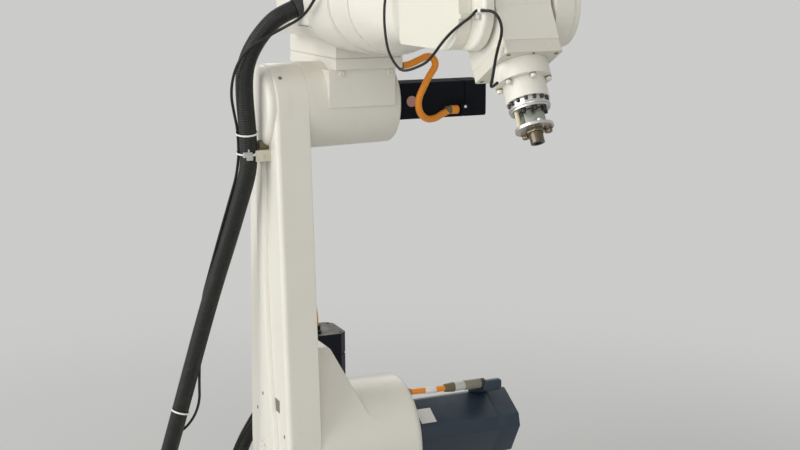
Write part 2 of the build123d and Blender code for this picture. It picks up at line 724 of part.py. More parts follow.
def hand_block():
    """The hand between the fork's cheeks, with its bearing bosses."""
    frame = Plane(
        origin=(WRIST_X, HAND_HALF, FOREARM_Z),
        x_dir=(cos(radians(WRIST_BEND)), 0, -sin(radians(WRIST_BEND))),
        z_dir=(0, -1, 0),
    )
    neck = Pos(HAND_NECK / 2, (HAND_FRONT - HAND_BACK) / 2) * Rectangle(HAND_NECK, HAND_FRONT + HAND_BACK)
    outline = Circle(50) + neck
    body = extrude(frame * outline, amount=2 * HAND_HALF)
    left = bar_y(30, FORK_LEFT_IN + RUN_GAP, -HAND_HALF, WRIST_X, FOREARM_Z)
    right = bar_y(30, HAND_HALF, FORK_RIGHT_IN - RUN_GAP, WRIST_X, FOREARM_Z)
    return body + left + right


def hand_plate():
    """The plate at the end of the hand that carries the last reducer."""
    shape = Pos(0, (HAND_FRONT - HAND_BACK) / 2) * RectangleRounded(2 * HAND_HALF + 2, HAND_FRONT + HAND_BACK, 3)
    return hand_place(HAND_NECK) * extrude(shape, amount=HAND_FACE - HAND_NECK)


def turned(radius, start, end, bore=0):
    """A round piece on the tool axis."""
    shape = Circle(radius) if bore == 0 else Circle(radius) - Circle(bore)
    return hand_place(start) * extrude(shape, amount=end - start)


nodes["base_casting"] = base_casting()
nodes["base_rear_housing"] = rear_housing(nodes["base_casting"])
nodes["base_connector_panel"] = connector_panel()

nodes["turret_casting"] = turret_casting()
nodes["j1_motor"] = j1_motor()
nodes["j2_motor_flange"] = j2_motor_flange()
nodes["j2_motor"] = j2_motor()
nodes["j2_plug"] = j2_plug()

nodes["terminal_box"] = terminal_box()
nodes["terminal_bracket"] = terminal_bracket()
nodes["terminal_gland"] = terminal_gland()

nodes["lower_arm_casting"] = lower_arm_casting()
nodes["arm_elbow_cap"] = arm_cap()
nodes["arm_panel"] = arm_panel()
nodes["hose_saddle"] = hose_saddle()

nodes["elbow_drum"] = elbow_drum()
nodes["elbow_gland"] = elbow_gland()
nodes["elbow_housing"] = elbow_housing(nodes["elbow_gland"])
nodes["j3_motor"] = j3_motor()
nodes["j4_motor"] = j4_motor()

nodes["forearm_gear_ring"] = gear_ring()
nodes["forearm_casting"] = forearm_casting()
nodes["forearm_belt_cover"] = belt_cover()
nodes["forearm_side_cover"] = side_cover()
nodes["cable_clip"] = cable_clip()

nodes["hand_block"] = hand_block()
nodes["hand_plate"] = hand_plate()
nodes["wrist_ring"] = turned(WRIST_RING_RADIUS, HAND_FACE, WRIST_RING_END)
nodes["wrist_reducer"] = turned(REDUCER_RADIUS, WRIST_RING_END, REDUCER_END)
nodes["tool_flange"] = turned(FLANGE_RADIUS, REDUCER_END + RUN_GAP, FLANGE_END)
nodes["tool_disc"] = turned(DISC_RADIUS, FLANGE_END, DISC_END)
nodes["tool_body"] = turned(TOOL_BODY, DISC_END, TOOL_BODY_END)
nodes["tool_plate"] = turned(TOOL_PLATE_RADIUS, TOOL_BODY_END, TOOL_PLATE_END)
nodes["tool_nozzle"] = turned(NOZZLE_RADIUS, TOOL_PLATE_END, NOZZLE_END, bore=5)

nodes["conduit_lower"] = tube(CONDUIT_LOWER, CONDUIT, "conduit_lower")
nodes["conduit_upper"] = tube(CONDUIT_UPPER, CONDUIT, "conduit_upper")
nodes["sensor_cable_upper"] = tube(SENSOR_UPPER, SENSOR_CABLE, "sensor_cable_upper")
nodes["sensor_cable_lower"] = tube(SENSOR_LOWER, SENSOR_CABLE, "sensor_cable_lower")
nodes["wrist_cable_rear"] = tube(WRIST_REAR, WRIST_CABLE, "wrist_cable_rear")
nodes["wrist_cable_front"] = tube(WRIST_FRONT, WRIST_CABLE, "wrist_cable_front")
nodes["j1_lead"] = tube(J1_LEAD, MOTOR_LEAD, "j1_lead")
nodes["j2_lead"] = tube(J2_LEAD, MOTOR_LEAD, "j2_lead")
nodes["j3_lead"] = tube(J3_LEAD, LEAD, "j3_lead")
nodes["j3_plug"] = j3_plug()

os.makedirs("parts", exist_ok=True)
for name, solid in nodes.items():
    export_step(solid, f"parts/{name}.step")
    print(name, len(solid.solids()), "solids, volume", round(solid.volume / 1000), "cm3")
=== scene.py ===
"""A six-axis robot arm with its conduit, leads and tool, dressed for rendering on its frame. Metres, +Z up."""

from __future__ import annotations

import json
import logging
import math
from collections.abc import Callable, Iterator, Sequence
from contextlib import contextmanager
from dataclasses import dataclass
from enum import Enum

import bmesh
import bpy
from mathutils import Matrix, Vector

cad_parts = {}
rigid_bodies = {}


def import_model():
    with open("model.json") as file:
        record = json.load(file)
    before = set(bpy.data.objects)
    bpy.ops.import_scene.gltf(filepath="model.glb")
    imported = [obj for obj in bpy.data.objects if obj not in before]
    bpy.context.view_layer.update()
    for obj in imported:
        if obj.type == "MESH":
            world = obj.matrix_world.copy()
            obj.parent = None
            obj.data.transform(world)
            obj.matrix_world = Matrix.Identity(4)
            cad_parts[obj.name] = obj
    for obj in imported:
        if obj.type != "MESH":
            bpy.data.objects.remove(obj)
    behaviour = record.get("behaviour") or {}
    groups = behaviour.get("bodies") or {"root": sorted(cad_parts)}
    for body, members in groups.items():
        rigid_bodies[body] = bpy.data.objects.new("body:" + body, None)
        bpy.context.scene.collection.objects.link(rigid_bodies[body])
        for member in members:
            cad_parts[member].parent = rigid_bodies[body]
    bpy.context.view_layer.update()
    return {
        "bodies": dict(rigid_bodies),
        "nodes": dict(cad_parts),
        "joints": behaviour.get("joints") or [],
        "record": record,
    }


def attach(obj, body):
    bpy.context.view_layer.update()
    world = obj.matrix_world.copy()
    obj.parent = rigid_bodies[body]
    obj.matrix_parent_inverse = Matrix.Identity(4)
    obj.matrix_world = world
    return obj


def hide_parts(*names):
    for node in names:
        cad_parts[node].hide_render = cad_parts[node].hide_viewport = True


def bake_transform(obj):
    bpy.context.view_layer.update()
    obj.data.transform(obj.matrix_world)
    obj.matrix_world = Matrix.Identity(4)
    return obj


LOG = logging.getLogger("robot_arm")
MM = 0.001
Point = tuple[float, float, float]
Colour = tuple[float, float, float]
WRIST = Vector((0.797, 0.0, 1.283))
WRIST_BEND = 61.5


def mm(*values: float) -> Vector:
    """A point given in millimetres, as a vector in metres."""
    return Vector(values) * MM


class Body(Enum):
    """The rigid bodies of the arm, from the floor to the tool."""

    BASE = "base"
    TURRET = "turret"
    ARM = "lower_arm"
    ELBOW = "elbow"
    FOREARM = "forearm"
    HAND = "hand"
    TOOL = "tool"


class Axis(Enum):
    """The directions that fasteners and covers face."""

    RIGHT = (0.0, 1.0, 0.0)
    LEFT = (0.0, -1.0, 0.0)
    FRONT = (1.0, 0.0, 0.0)
    REAR = (-1.0, 0.0, 0.0)
    UP = (0.0, 0.0, 1.0)
    DOWN = (0.0, 0.0, -1.0)

    @property
    def way(self) -> Vector:
        """The direction as a vector."""
        return Vector(self.value)


def stand(place: Vector, toward: Vector, spin: float = 0.0) -> Matrix:
    """The place of a piece that was made along +Z, turned to point one way.

    Args:
        place: Where its foot stands.
        toward: The way that it points.
        spin: Its turn about that way, in degrees.

    Returns:
        The matrix.
    """
    turn = toward.to_track_quat("Z", "Y").to_matrix().to_4x4()
    return Matrix.Translation(place) @ turn @ Matrix.Rotation(math.radians(spin), 4, "Z")


def ring_of(frame: Matrix, radius: float, count: int, start: float = 0.0) -> list[Matrix]:
    """Places on a circle about a frame's Z axis, each turned with its place.

    Args:
        frame: The circle's centre and axis.
        radius: The radius in millimetres.
        count: How many places there are.
        start: The angle of the first, in degrees.

    Returns:
        One matrix for each place.
    """
    angles = [math.radians(start + 360 * n / count) for n in range(count)]
    return [frame @ Matrix.Rotation(a, 4, "Z") @ Matrix.Translation((radius * MM, 0, 0)) for a in angles]


def corners(middle: tuple[float, float], reach: tuple[float, float], level: float, toward: Axis) -> list[Matrix]:
    """The four corners of a rectangle that lies square to an axis, in millimetres.

    Args:
        middle: Its centre in the plane's own two coordinates, in the order of X, Y and Z.
        reach: Half its length along each.
        level: The plane's place along the axis.
        toward: The way that a piece at each corner points.

    Returns:
        One matrix for each corner.
    """
    fixed = [part != 0 for part in toward.value].index(True)
    found = []
    for first in (-1, 1):
        for second in (-1, 1):
            place = [middle[0] + first * reach[0], middle[1] + second * reach[1]]
            place.insert(fixed, level)
            found.append(stand(mm(*place), toward.way))
    return found


def tool_axis(distance: float) -> Matrix:
    """A frame on the tool's axis: local Z along the tool, local X up and forward, local Y to the left."""
    bend = math.radians(WRIST_BEND)
    along = Vector((math.cos(bend), 0.0, -math.sin(bend)))
    up = Vector((math.sin(bend), 0.0, math.cos(bend)))
    turn = Matrix((up, (0.0, -1.0, 0.0), along)).transposed().to_4x4()
    return Matrix.Translation(WRIST + along * distance * MM) @ turn


class Wire:
    """A shader socket, or a number, that adds Math nodes when it is used in an expression."""

    def __init__(self, graph: "Graph", value: bpy.types.NodeSocket | float) -> None:
        """Wraps a socket of the graph, or a plain number."""
        self.graph = graph
        self.value = value

    def _math(self, operation: str, first: object, second: object) -> "Wire":
        """A Math node on two values."""
        return self.graph.add("ShaderNodeMath", {"operation": operation}, {0: first, 1: second})

    def __add__(self, other: object) -> "Wire":
        """Sum."""
        return self._math("ADD", self, other)

    __radd__ = __add__

    def __mul__(self, other: object) -> "Wire":
        """Product."""
        return self._math("MULTIPLY", self, other)

    __rmul__ = __mul__

    def over(self, low: float, high: float) -> "Wire":
        """The value's place between two limits, from 0 to 1, with soft ends."""
        settings = {"interpolation_type": "SMOOTHSTEP"}
        return self.graph.add("ShaderNodeMapRange", settings, {0: self, 1: low, 2: high, 3: 0.0, 4: 1.0})


class Graph:
    """The node tree of one material or world."""

    def __init__(self, owner: bpy.types.Material | bpy.types.World) -> None:
        """Empties the owner's tree.

        Args:
            owner: The material or world that the tree belongs to.
        """
        self.owner = owner
        owner.use_nodes = True
        self.tree = owner.node_tree
        self.tree.nodes.clear()

    def add(self, kind: str, settings: dict, inputs: dict, output: int | str = 0) -> Wire:
        """Adds a node.

        Args:
            kind: The node's type.
            settings: Properties of the node, set before its sockets.
            inputs: Values or wires of its sockets, by index or name.
            output: The socket that is given back.

        Returns:
            The chosen output.
        """
        node = self.tree.nodes.new(kind)
        for key, value in settings.items():
            setattr(node, key, value)
        for key, value in inputs.items():
            self.feed(node.inputs[key], value)
        return Wire(self, node.outputs[output] if len(node.outputs) else 0.0)

    def feed(self, socket: bpy.types.NodeSocket, value: object) -> None:
        """Links a wire to a socket, or sets the socket's own value."""
        inner = value.value if isinstance(value, Wire) else value
        if isinstance(inner, bpy.types.NodeSocket):
            self.tree.links.new(inner, socket)
        elif isinstance(inner, tuple) and len(inner) == 3 and socket.type == "RGBA":
            socket.default_value = (*inner, 1.0)
        else:
            socket.default_value = inner

    def place(self) -> Wire:
        """The Object coordinates."""
        return self.add("ShaderNodeTexCoord", {}, {}, "Object")

    def noise(self, where: Wire, scale: float, detail: float = 3.0, roughness: float = 0.5) -> Wire:
        """Noise from 0 to 1 at a scale in cells to the metre."""
        inputs = {"Vector": where, "Scale": scale, "Detail": detail, "Roughness": roughness}
        return self.add("ShaderNodeTexNoise", {}, inputs, "Fac")

    def stretched(self, where: Wire, scale: Point) -> Wire:
        """Coordinates scaled apart along X, Y and Z."""
        return self.add("ShaderNodeMapping", {}, {"Vector": where, "Scale": scale})

    def blend(self, share: Wire | float, first: Wire | Colour, second: Wire | Colour) -> Wire:
        """A mix of two colours."""
        return self.add("ShaderNodeMix", {"data_type": "RGBA"}, {0: share, 6: first, 7: second}, 2)

    def rounded(self, radius: float) -> Wire:
        """A normal that turns softly over an edge."""
        return self.add("ShaderNodeBevel", {"samples": 4}, {"Radius": radius})

    def bump(self, height: Wire, strength: float, distance: float, under: Wire | None = None) -> Wire:
        """A Bump node that feeds Normal."""
        inputs = {"Strength": strength, "Distance": distance, "Height": height}
        if under is not None:
            inputs["Normal"] = under
        return self.add("ShaderNodeBump", {}, inputs)

    def upward(self, low: float, high: float) -> Wire:
        """How far a surface looks up, between two limits."""
        normal = self.add("ShaderNodeNewGeometry", {}, {}, "Normal")
        return self.add("ShaderNodeSeparateXYZ", {}, {0: normal}, "Z").over(low, high)

    def seen(self) -> Wire:
        """1 for the camera's own rays and what mirrors and glass pass on, 0 for the light on the object."""
        camera = self.add("ShaderNodeLightPath", {}, {}, "Is Camera Ray")
        glossy = self.add("ShaderNodeLightPath", {}, {}, "Is Glossy Ray")
        through = self.add("ShaderNodeLightPath", {}, {}, "Is Transmission Ray")
        return (camera + glossy + through).over(0.0, 1.0)

    def surface(self, inputs: dict) -> bpy.types.Material:
        """Ends the tree with a Principled shader.

        Args:
            inputs: The shader's sockets by name.

        Returns:
            The finished material.
        """
        shader = self.add("ShaderNodeBsdfPrincipled", {}, inputs)
        self.add("ShaderNodeOutputMaterial", {}, {"Surface": shader})
        return self.owner


@dataclass(frozen=True)
class Paint:
    """Satin paint on a casting: slight orange peel, faint mottling, dust and grey smudges."""

    name: str
    colour: Colour = (0.80, 0.775, 0.69)
    grime: Colour = (0.34, 0.30, 0.23)
    dirt: float = 0.5
    roughness: float = 0.38
    round_edge: float = 0.0015

    def build(self) -> bpy.types.Material:
        """Makes the material."""
        graph = Graph(bpy.data.materials.new(self.name))
        where = graph.place()
        cloud = graph.noise(where, 9.0, 5.0, 0.6)
        smudge = graph.noise(where, 38.0, 6.0, 0.72).over(0.56, 0.78) * cloud.over(0.45, 0.7)
        runs = graph.noise(graph.stretched(where, (60.0, 60.0, 7.0)), 1.0, 4.0, 0.6).over(0.58, 0.86)
        specks = graph.noise(where, 210.0, 2.0, 0.5).over(0.70, 0.76) * cloud.over(0.4, 0.6)
        dust = graph.upward(0.5, 1.0) * graph.noise(where, 17.0, 4.0, 0.6).over(0.35, 0.8)
        mask = (smudge * 0.5 + runs * 0.2 + specks * 0.6 + dust * 0.3) * self.dirt
        tint = graph.blend(cloud, self.colour, tuple(c * 0.94 for c in self.colour))
        colour = graph.blend(mask, tint, self.grime)
        normal = graph.bump(graph.noise(where, 900.0, 2.0, 0.4), 0.12, 0.0004, graph.rounded(self.round_edge))
        rough = graph.noise(where, 60.0, 3.0, 0.6) * 0.12 + mask * 0.3 + (self.roughness - 0.06)
        return graph.surface({"Base Color": colour, "Roughness": rough, "Normal": normal, "Coat Weight": 0.12,
                              "Coat Roughness": 0.25})


@dataclass(frozen=True)
class Powder:
    """Fine dark or grey coat on a motor or a box, with settled dust."""

    name: str
    colour: Colour
    dust: Colour = (0.42, 0.41, 0.38)
    dusty: float = 0.35
    roughness: float = 0.42
    specular: float = 0.4
    grain: float = 2400.0

    def build(self) -> bpy.types.Material:
        """Makes the material."""
        graph = Graph(bpy.data.materials.new(self.name))
        where = graph.place()
        cloud = graph.noise(where, 26.0, 6.0, 0.65).over(0.36, 0.72)
        specks = graph.noise(where, 420.0, 3.0, 0.7).over(0.6, 0.75)
        mask = (graph.upward(0.35, 0.95) * (cloud * 0.8 + 0.2) + specks * 0.08) * self.dusty
        colour = graph.blend(mask, self.colour, self.dust)
        normal = graph.bump(graph.noise(where, self.grain, 2.0, 0.6), 0.25, 0.0003, graph.rounded(0.0008))
        rough = graph.noise(where, 90.0, 3.0, 0.5) * 0.14 + mask * 0.5 + (self.roughness - 0.07)
        return graph.surface({"Base Color": colour, "Roughness": rough, "Normal": normal,
                              "Specular IOR Level": self.specular})


@dataclass(frozen=True)
class Metal:
    """Machined metal: fine turning marks, a little tarnish and oil."""

    name: str
    colour: Colour = (0.56, 0.55, 0.53)
    tarnish: Colour = (0.30, 0.28, 0.25)
    tarnished: float = 0.6
    roughness: float = 0.28
    marks: Point = (260.0, 260.0, 2600.0)

    def build(self) -> bpy.types.Material:
        """Makes the material."""
        graph = Graph(bpy.data.materials.new(self.name))
        where = graph.place()
        stain = graph.noise(where, 120.0, 5.0, 0.7).over(0.45, 0.8)
        colour = graph.blend(stain * self.tarnished, self.colour, self.tarnish)
        lines = graph.noise(graph.stretched(where, self.marks), 1.0, 3.0, 0.6)
        normal = graph.bump(lines, 0.2, 0.0002, graph.rounded(0.0004))
        rough = lines * 0.16 + stain * 0.16 + (self.roughness - 0.08)
        return graph.surface({"Base Color": colour, "Metallic": 1.0, "Roughness": rough, "Normal": normal})


@dataclass(frozen=True)
class Moulded:
    """Moulded plastic or rubber with faint dust in patches."""

    name: str
    colour: Colour
    dust: Colour = (0.35, 0.34, 0.31)
    dusty: float = 0.18
    roughness: float = 0.5
    specular: float = 0.4

    def build(self) -> bpy.types.Material:
        """Makes the material."""
        graph = Graph(bpy.data.materials.new(self.name))
        where = graph.place()
        patch = graph.noise(where, 45.0, 6.0, 0.68).over(0.5, 0.8)
        fine = graph.noise(where, 1500.0, 2.0, 0.5)
        colour = graph.blend(patch * self.dusty, self.colour, self.dust)
        rough = patch * 0.15 + fine * 0.06 + (self.roughness - 0.05)
        return graph.surface({"Base Color": colour, "Roughness": rough, "Normal": graph.bump(fine, 0.15, 0.0002),
                              "Specular IOR Level": self.specular})


Finish = Paint | Powder | Metal | Moulded

WHITE = Paint("warm white paint")
CLEAN_WHITE = Paint("painted screw heads", dirt=0.25, round_edge=0.0004)
PALE = Paint("cover paint", colour=(0.785, 0.765, 0.665), dirt=0.25, roughness=0.42)
# Painted shade: the hand plate's white paint, made darker and warmer as it looks in shade.
CREAM_PAINTED_SHADE = Paint("hand plate paint with painted shade", colour=(0.72, 0.69, 0.59), dirt=0.4, roughness=0.45)
BLACK_MOTOR = Powder("black motor coat", (0.016, 0.017, 0.021), dusty=0.3, specular=0.3)
DUSTY_MOTOR = Powder("dusty motor coat", (0.010, 0.012, 0.020), dust=(0.42, 0.40, 0.33), dusty=0.66, specular=0.15)
PLAIN_MOTOR = Powder("plain black motor coat", (0.013, 0.015, 0.019), dusty=0.01, roughness=0.75, specular=0.02)
SLATE_MOTOR = Powder("slate motor coat", (0.020, 0.036, 0.057), dust=(0.16, 0.18, 0.20), dusty=0.12, specular=0.45)
GREY_BOX = Powder("grey box coat", (0.30, 0.31, 0.32), dusty=0.2)
STEEL = Metal("machined steel")
BRIGHT_STEEL = Metal("bright steel", colour=(0.60, 0.59, 0.56), tarnished=0.4, roughness=0.33)
GREEN_STEEL = Metal("oiled grey steel", colour=(0.34, 0.36, 0.32), tarnish=(0.18, 0.18, 0.14), roughness=0.34)
BRONZE = Metal("dark bronze nozzle", colour=(0.15, 0.125, 0.09), tarnish=(0.05, 0.042, 0.03), roughness=0.26)
BROWN_STEEL = Metal("browned nuts", colour=(0.24, 0.20, 0.14), tarnish=(0.09, 0.07, 0.045), roughness=0.32)
DARK_STEEL = Metal("blackened screws", colour=(0.06, 0.06, 0.065), tarnish=(0.02, 0.02, 0.02), roughness=0.4)
CONDUIT_BLACK = Moulded("black conduit", (0.013, 0.014, 0.012), dusty=0.06, roughness=0.42, specular=0.3)
CABLE_BLACK = Moulded("black cable", (0.011, 0.011, 0.010), dusty=0.08, roughness=0.45, specular=0.3)
GLAND_BLACK = Moulded("black gland", (0.03, 0.03, 0.032), roughness=0.4)
ORANGE = Moulded("orange lead", (0.87, 0.29, 0.018), dust=(0.50, 0.26, 0.10), dusty=0.14, roughness=0.42)
BEIGE = Moulded("beige clamp", (0.60, 0.56, 0.45), dusty=0.2, roughness=0.55)
OLIVE = Moulded("olive plug", (0.13, 0.11, 0.055), roughness=0.5)
OLIVE_GREY = Moulded("olive grey sleeve", (0.22, 0.21, 0.16), roughness=0.45)
CHALK = Moulded("chalky nut", (0.55, 0.54, 0.50), dusty=0.3, roughness=0.5)
IVORY = Moulded("ivory post", (0.66, 0.59, 0.42), dusty=0.1)
# Dark grey-brown: painted shade in the arm's recess and the housing's slot strip, and the own colour of the small
# dark plugs.
GAP_SHADE_AND_PLUG = Moulded("painted gap shade and dark plug", (0.20, 0.185, 0.15), dusty=0.2, roughness=0.7)
CLEAR = Moulded("milky tie", (0.46, 0.48, 0.45), dusty=0.2, roughness=0.3)
WHITE_PLASTIC = Moulded("white plastic", (0.80, 0.80, 0.76), dust=(0.4, 0.38, 0.33), dusty=0.2, roughness=0.42)
PINK = Moulded("pale plug disc", (0.60, 0.33, 0.30), dusty=0.2)


class Bench:
    """Makes pieces as by hand: a primitive at its size and place, shaped in edit mode, finished with modifiers."""

    made: dict[str, bpy.types.Material] = {}

    @staticmethod
    def clear() -> None:
        """Leaves nothing selected."""
        if bpy.context.object is not None and bpy.context.object.mode != "OBJECT":
            bpy.ops.object.mode_set(mode="OBJECT")
        bpy.ops.object.select_all(action="DESELECT")

    @staticmethod
    def pick(piece: bpy.types.Object) -> None:
        """Selects one piece and makes it active."""
        Bench.clear()
        piece.select_set(True)
        bpy.context.view_layer.objects.active = piece

    @staticmethod
    def settle(name: str) -> bpy.types.Object:
        """Names the new primitive and puts its place in its mesh."""
        piece = bpy.context.object
        piece.name = name
        Bench.pick(piece)
        bpy.ops.object.transform_apply(location=True, rotation=True, scale=True)
        return piece

    @staticmethod
    @contextmanager
    def editing(piece: bpy.types.Object, faces: Callable[[bmesh.types.BMFace], bool]) -> Iterator[None]:
        """Edit mode with the faces selected that a test picks."""
        Bench.pick(piece)
        bpy.ops.object.mode_set(mode="EDIT")
        bpy.ops.mesh.select_mode(type="FACE")
        bpy.ops.mesh.select_all(action="DESELECT")
        mesh = bmesh.from_edit_mesh(piece.data)
        mesh.faces.ensure_lookup_table()
        mesh.normal_update()
        for face in mesh.faces:
            if faces(face):
                face.select_set(True)
        bmesh.update_edit_mesh(piece.data)
        yield
        bpy.ops.object.mode_set(mode="OBJECT")

    @staticmethod
    def block(name: str, low: Point, high: Point, round_edge: float = 0.0) -> bpy.types.Object:
        """A box between two corners in millimetres, with its edges rounded where a width is given."""
        Bench.clear()
        low_corner, high_corner = mm(*low), mm(*high)
        bpy.ops.mesh.primitive_cube_add(size=1.0, location=(low_corner + high_corner) / 2,
                                        scale=high_corner - low_corner)
        piece = Bench.settle(name)
        if round_edge:
            Bench.soften(piece, round_edge)
        return piece

    @staticmethod
    def rod(name: str, start: Point, end: Point, radius: float, sides: int = 32,
            end_radius: float | None = None, round_edge: float = 0.0) -> bpy.types.Object:
        """A round or many-sided bar between two points in millimetres.

        Args:
            name: The piece's name.
            start: The centre of its first end.
            end: The centre of its last end.
            radius: The radius at the first end.
            sides: How many sides it has.
            end_radius: The radius at the last end, where it differs.
            round_edge: How wide its sharp edges are rounded.

        Returns:
            The piece.
        """
        Bench.clear()
        first, last = mm(*start), mm(*end)
        heading = last - first
        bpy.ops.mesh.primitive_cone_add(
            vertices=sides, radius1=radius * MM, radius2=(radius if end_radius is None else end_radius) * MM,
            depth=heading.length, location=(first + last) / 2,
            rotation=heading.to_track_quat("Z", "Y").to_euler())
        piece = Bench.settle(name)
        if round_edge:
            Bench.soften(piece, round_edge)
        return piece

    @staticmethod
    def modify(piece: bpy.types.Object, kind: str, **settings: object) -> None:
        """Adds a modifier and applies it."""
        Bench.pick(piece)
        modifier = piece.modifiers.new(kind.title(), kind)
        for key, value in settings.items():
            setattr(modifier, key, value)
        bpy.ops.object.modifier_apply(modifier=modifier.name)

    @staticmethod
    def soften(piece: bpy.types.Object, width: float, segments: int = 2, angle: float = 35.0) -> None:
        """Rounds the sharp edges by a width in millimetres."""
        Bench.modify(piece, "BEVEL", width=width * MM, segments=segments, limit_method="ANGLE",
                     angle_limit=math.radians(angle), use_clamp_overlap=True)

    @staticmethod
    def step(piece: bpy.types.Object, toward: Vector, inset: float, depth: float) -> None:
        """Insets the faces that look one way and pushes them out, or in where the depth is negative."""
        way = toward.normalized()
        with Bench.editing(piece, lambda face: face.normal.dot(way) > 0.99):
            bpy.ops.mesh.inset(thickness=inset * MM, depth=0)
            bpy.ops.mesh.extrude_region_move(TRANSFORM_OT_translate={"value": way * depth * MM})

    @staticmethod
    def slope(piece: bpy.types.Object, toward: Vector, inset: float, rise: float) -> None:
        """Insets the faces that look one way and lifts them at the same time, which leaves a slope round them."""
        way = toward.normalized()
        with Bench.editing(piece, lambda face: face.normal.dot(way) > 0.99):
            bpy.ops.mesh.inset(thickness=inset * MM, depth=rise * MM)

    @staticmethod
    def cut(piece: bpy.types.Object, cutter: bpy.types.Object) -> None:
        """Takes one piece out of another."""
        Bench.modify(piece, "BOOLEAN", object=cutter, operation="DIFFERENCE", solver="EXACT")
        bpy.data.objects.remove(cutter, do_unlink=True)

    @staticmethod
    def join(name: str, pieces: Sequence[bpy.types.Object]) -> bpy.types.Object:
        """Joins several pieces into one."""
        Bench.clear()
        for piece in pieces:
            piece.select_set(True)
        bpy.context.view_layer.objects.active = pieces[0]
        bpy.ops.object.join()
        pieces[0].name = name
        return pieces[0]

    @staticmethod
    def copies(name: str, model: bpy.types.Object, places: Sequence[Matrix]) -> bpy.types.Object:
        """Copies a piece to several places and joins the copies. The model itself is removed."""
        made = []
        for place in places:
            copy = model.copy()
            copy.data = model.data.copy()
            copy.data.transform(place)
            bpy.context.collection.objects.link(copy)
            made.append(copy)
        bpy.data.objects.remove(model, do_unlink=True)
        return Bench.join(name, made)

    @staticmethod
    def finish(piece: bpy.types.Object, look: Finish, body: Body | None, slot: str,
               smooth: float = 35.0) -> bpy.types.Object:
        """Gives a piece its material, its shading and its body.

        Args:
            piece: The piece, with its place in its mesh.
            look: The finish.
            body: The body that it rides on, or None where it rides on none.
            slot: The record's material slot; not used.
            smooth: The angle in degrees under which an edge is smooth.

        Returns:
            The piece.
        """
        Bench.pick(piece)
        bpy.ops.object.shade_smooth_by_angle(angle=math.radians(smooth))
        piece.data.materials.clear()
        piece.data.materials.append(Bench.dress(look))
        if body is not None:
            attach(piece, body.value)
        LOG.info("made %s: %d faces", piece.name, len(piece.data.polygons))
        return piece

    @staticmethod
    def dress(look: Finish) -> bpy.types.Material:
        """The material of a finish, made once."""
        if look.name not in Bench.made:
            Bench.made[look.name] = look.build()
        return Bench.made[look.name]


@dataclass(frozen=True)
class Screw:
    """A screw with a round head and a hexagon socket, all in millimetres."""

    head: float = 4.5
    height: float = 5.0
    socket: float = 2.4
    look: Finish = DARK_STEEL

    def build(self, name: str, places: Sequence[Matrix], body: Body, slot: str) -> bpy.types.Object:
        """Makes the screw once and copies it to its places.

        Args:
            name: The name of the joined screws.
            places: Where each stands, with local Z along it.
            body: The body that they ride on.
            slot: The record's material slot.

        Returns:
            The joined screws.
        """
        model = Bench.rod("screw", (0, 0, -1), (0, 0, self.height), self.head, 20)
        Bench.cut(model, Bench.rod("key", (0, 0, self.height * 0.4), (0, 0, self.height + 1), self.socket, 6))
        Bench.soften(model, self.head * 0.12, 2, 50.0)
        return Bench.finish(Bench.copies(name, model, places), self.look, body, slot)


@dataclass(frozen=True)
class Hexagon:
    """A hexagon nut or bolt head on its washer, all in millimetres."""

    across: float = 6.0
    height: float = 5.0
    washer: float = 7.0
    bore: float = 0.0
    look: Finish = STEEL

    def build(self, name: str, places: Sequence[Matrix], body: Body, slot: str) -> bpy.types.Object:
        """Makes it once, chamfers its corners and copies it to its places.

        Args:
            name: The name of the joined pieces.
            places: Where each stands, with local Z along it.
            body: The body that they ride on.
            slot: The record's material slot.

        Returns:
            The joined pieces.
        """
        low = 1 if self.washer else -0.5
        model = Bench.rod("nut", (0, 0, low), (0, 0, self.height), self.across, 6)
        Bench.step(model, Vector((0, 0, 1)), self.across * 0.08, self.height * 0.08)
        Bench.soften(model, self.across * 0.05, 2, 20.0)
        parts = [model]
        if self.washer:
            parts.append(Bench.rod("washer", (0, 0, -0.5), (0, 0, 1), self.washer, 32, round_edge=0.3))
        model = Bench.join("nut", parts)
        if self.bore:
            Bench.cut(model, Bench.rod("bore", (0, 0, -2), (0, 0, self.height + 2), self.bore, 24))
        return Bench.finish(Bench.copies(name, model, places), self.look, body, slot)


@dataclass(frozen=True)
class Collar:
    """A soft ring round a cable where it goes into the object."""

    name: str
    place: Point
    toward: Axis
    bore: float
    look: Finish = GLAND_BLACK
    slot: str = "gland_black"
    wall: float = 2.6
    length: float = 5.0

    def build(self, body: Body) -> bpy.types.Object:
        """Makes the ring with a rounded, tapered front.

        Args:
            body: The body that it rides on.

        Returns:
            The ring.
        """
        radius = self.bore + self.wall
        ring = Bench.rod(self.name, (0, 0, -1.5), (0, 0, self.length), radius, 28, radius - self.wall * 0.35)
        Bench.cut(ring, Bench.rod("bore", (0, 0, self.length * 0.4), (0, 0, self.length + 2), self.bore, 28))
        Bench.soften(ring, 0.6)
        ring.data.transform(stand(mm(*self.place), self.toward.way))
        return Bench.finish(ring, self.look, body, self.slot)


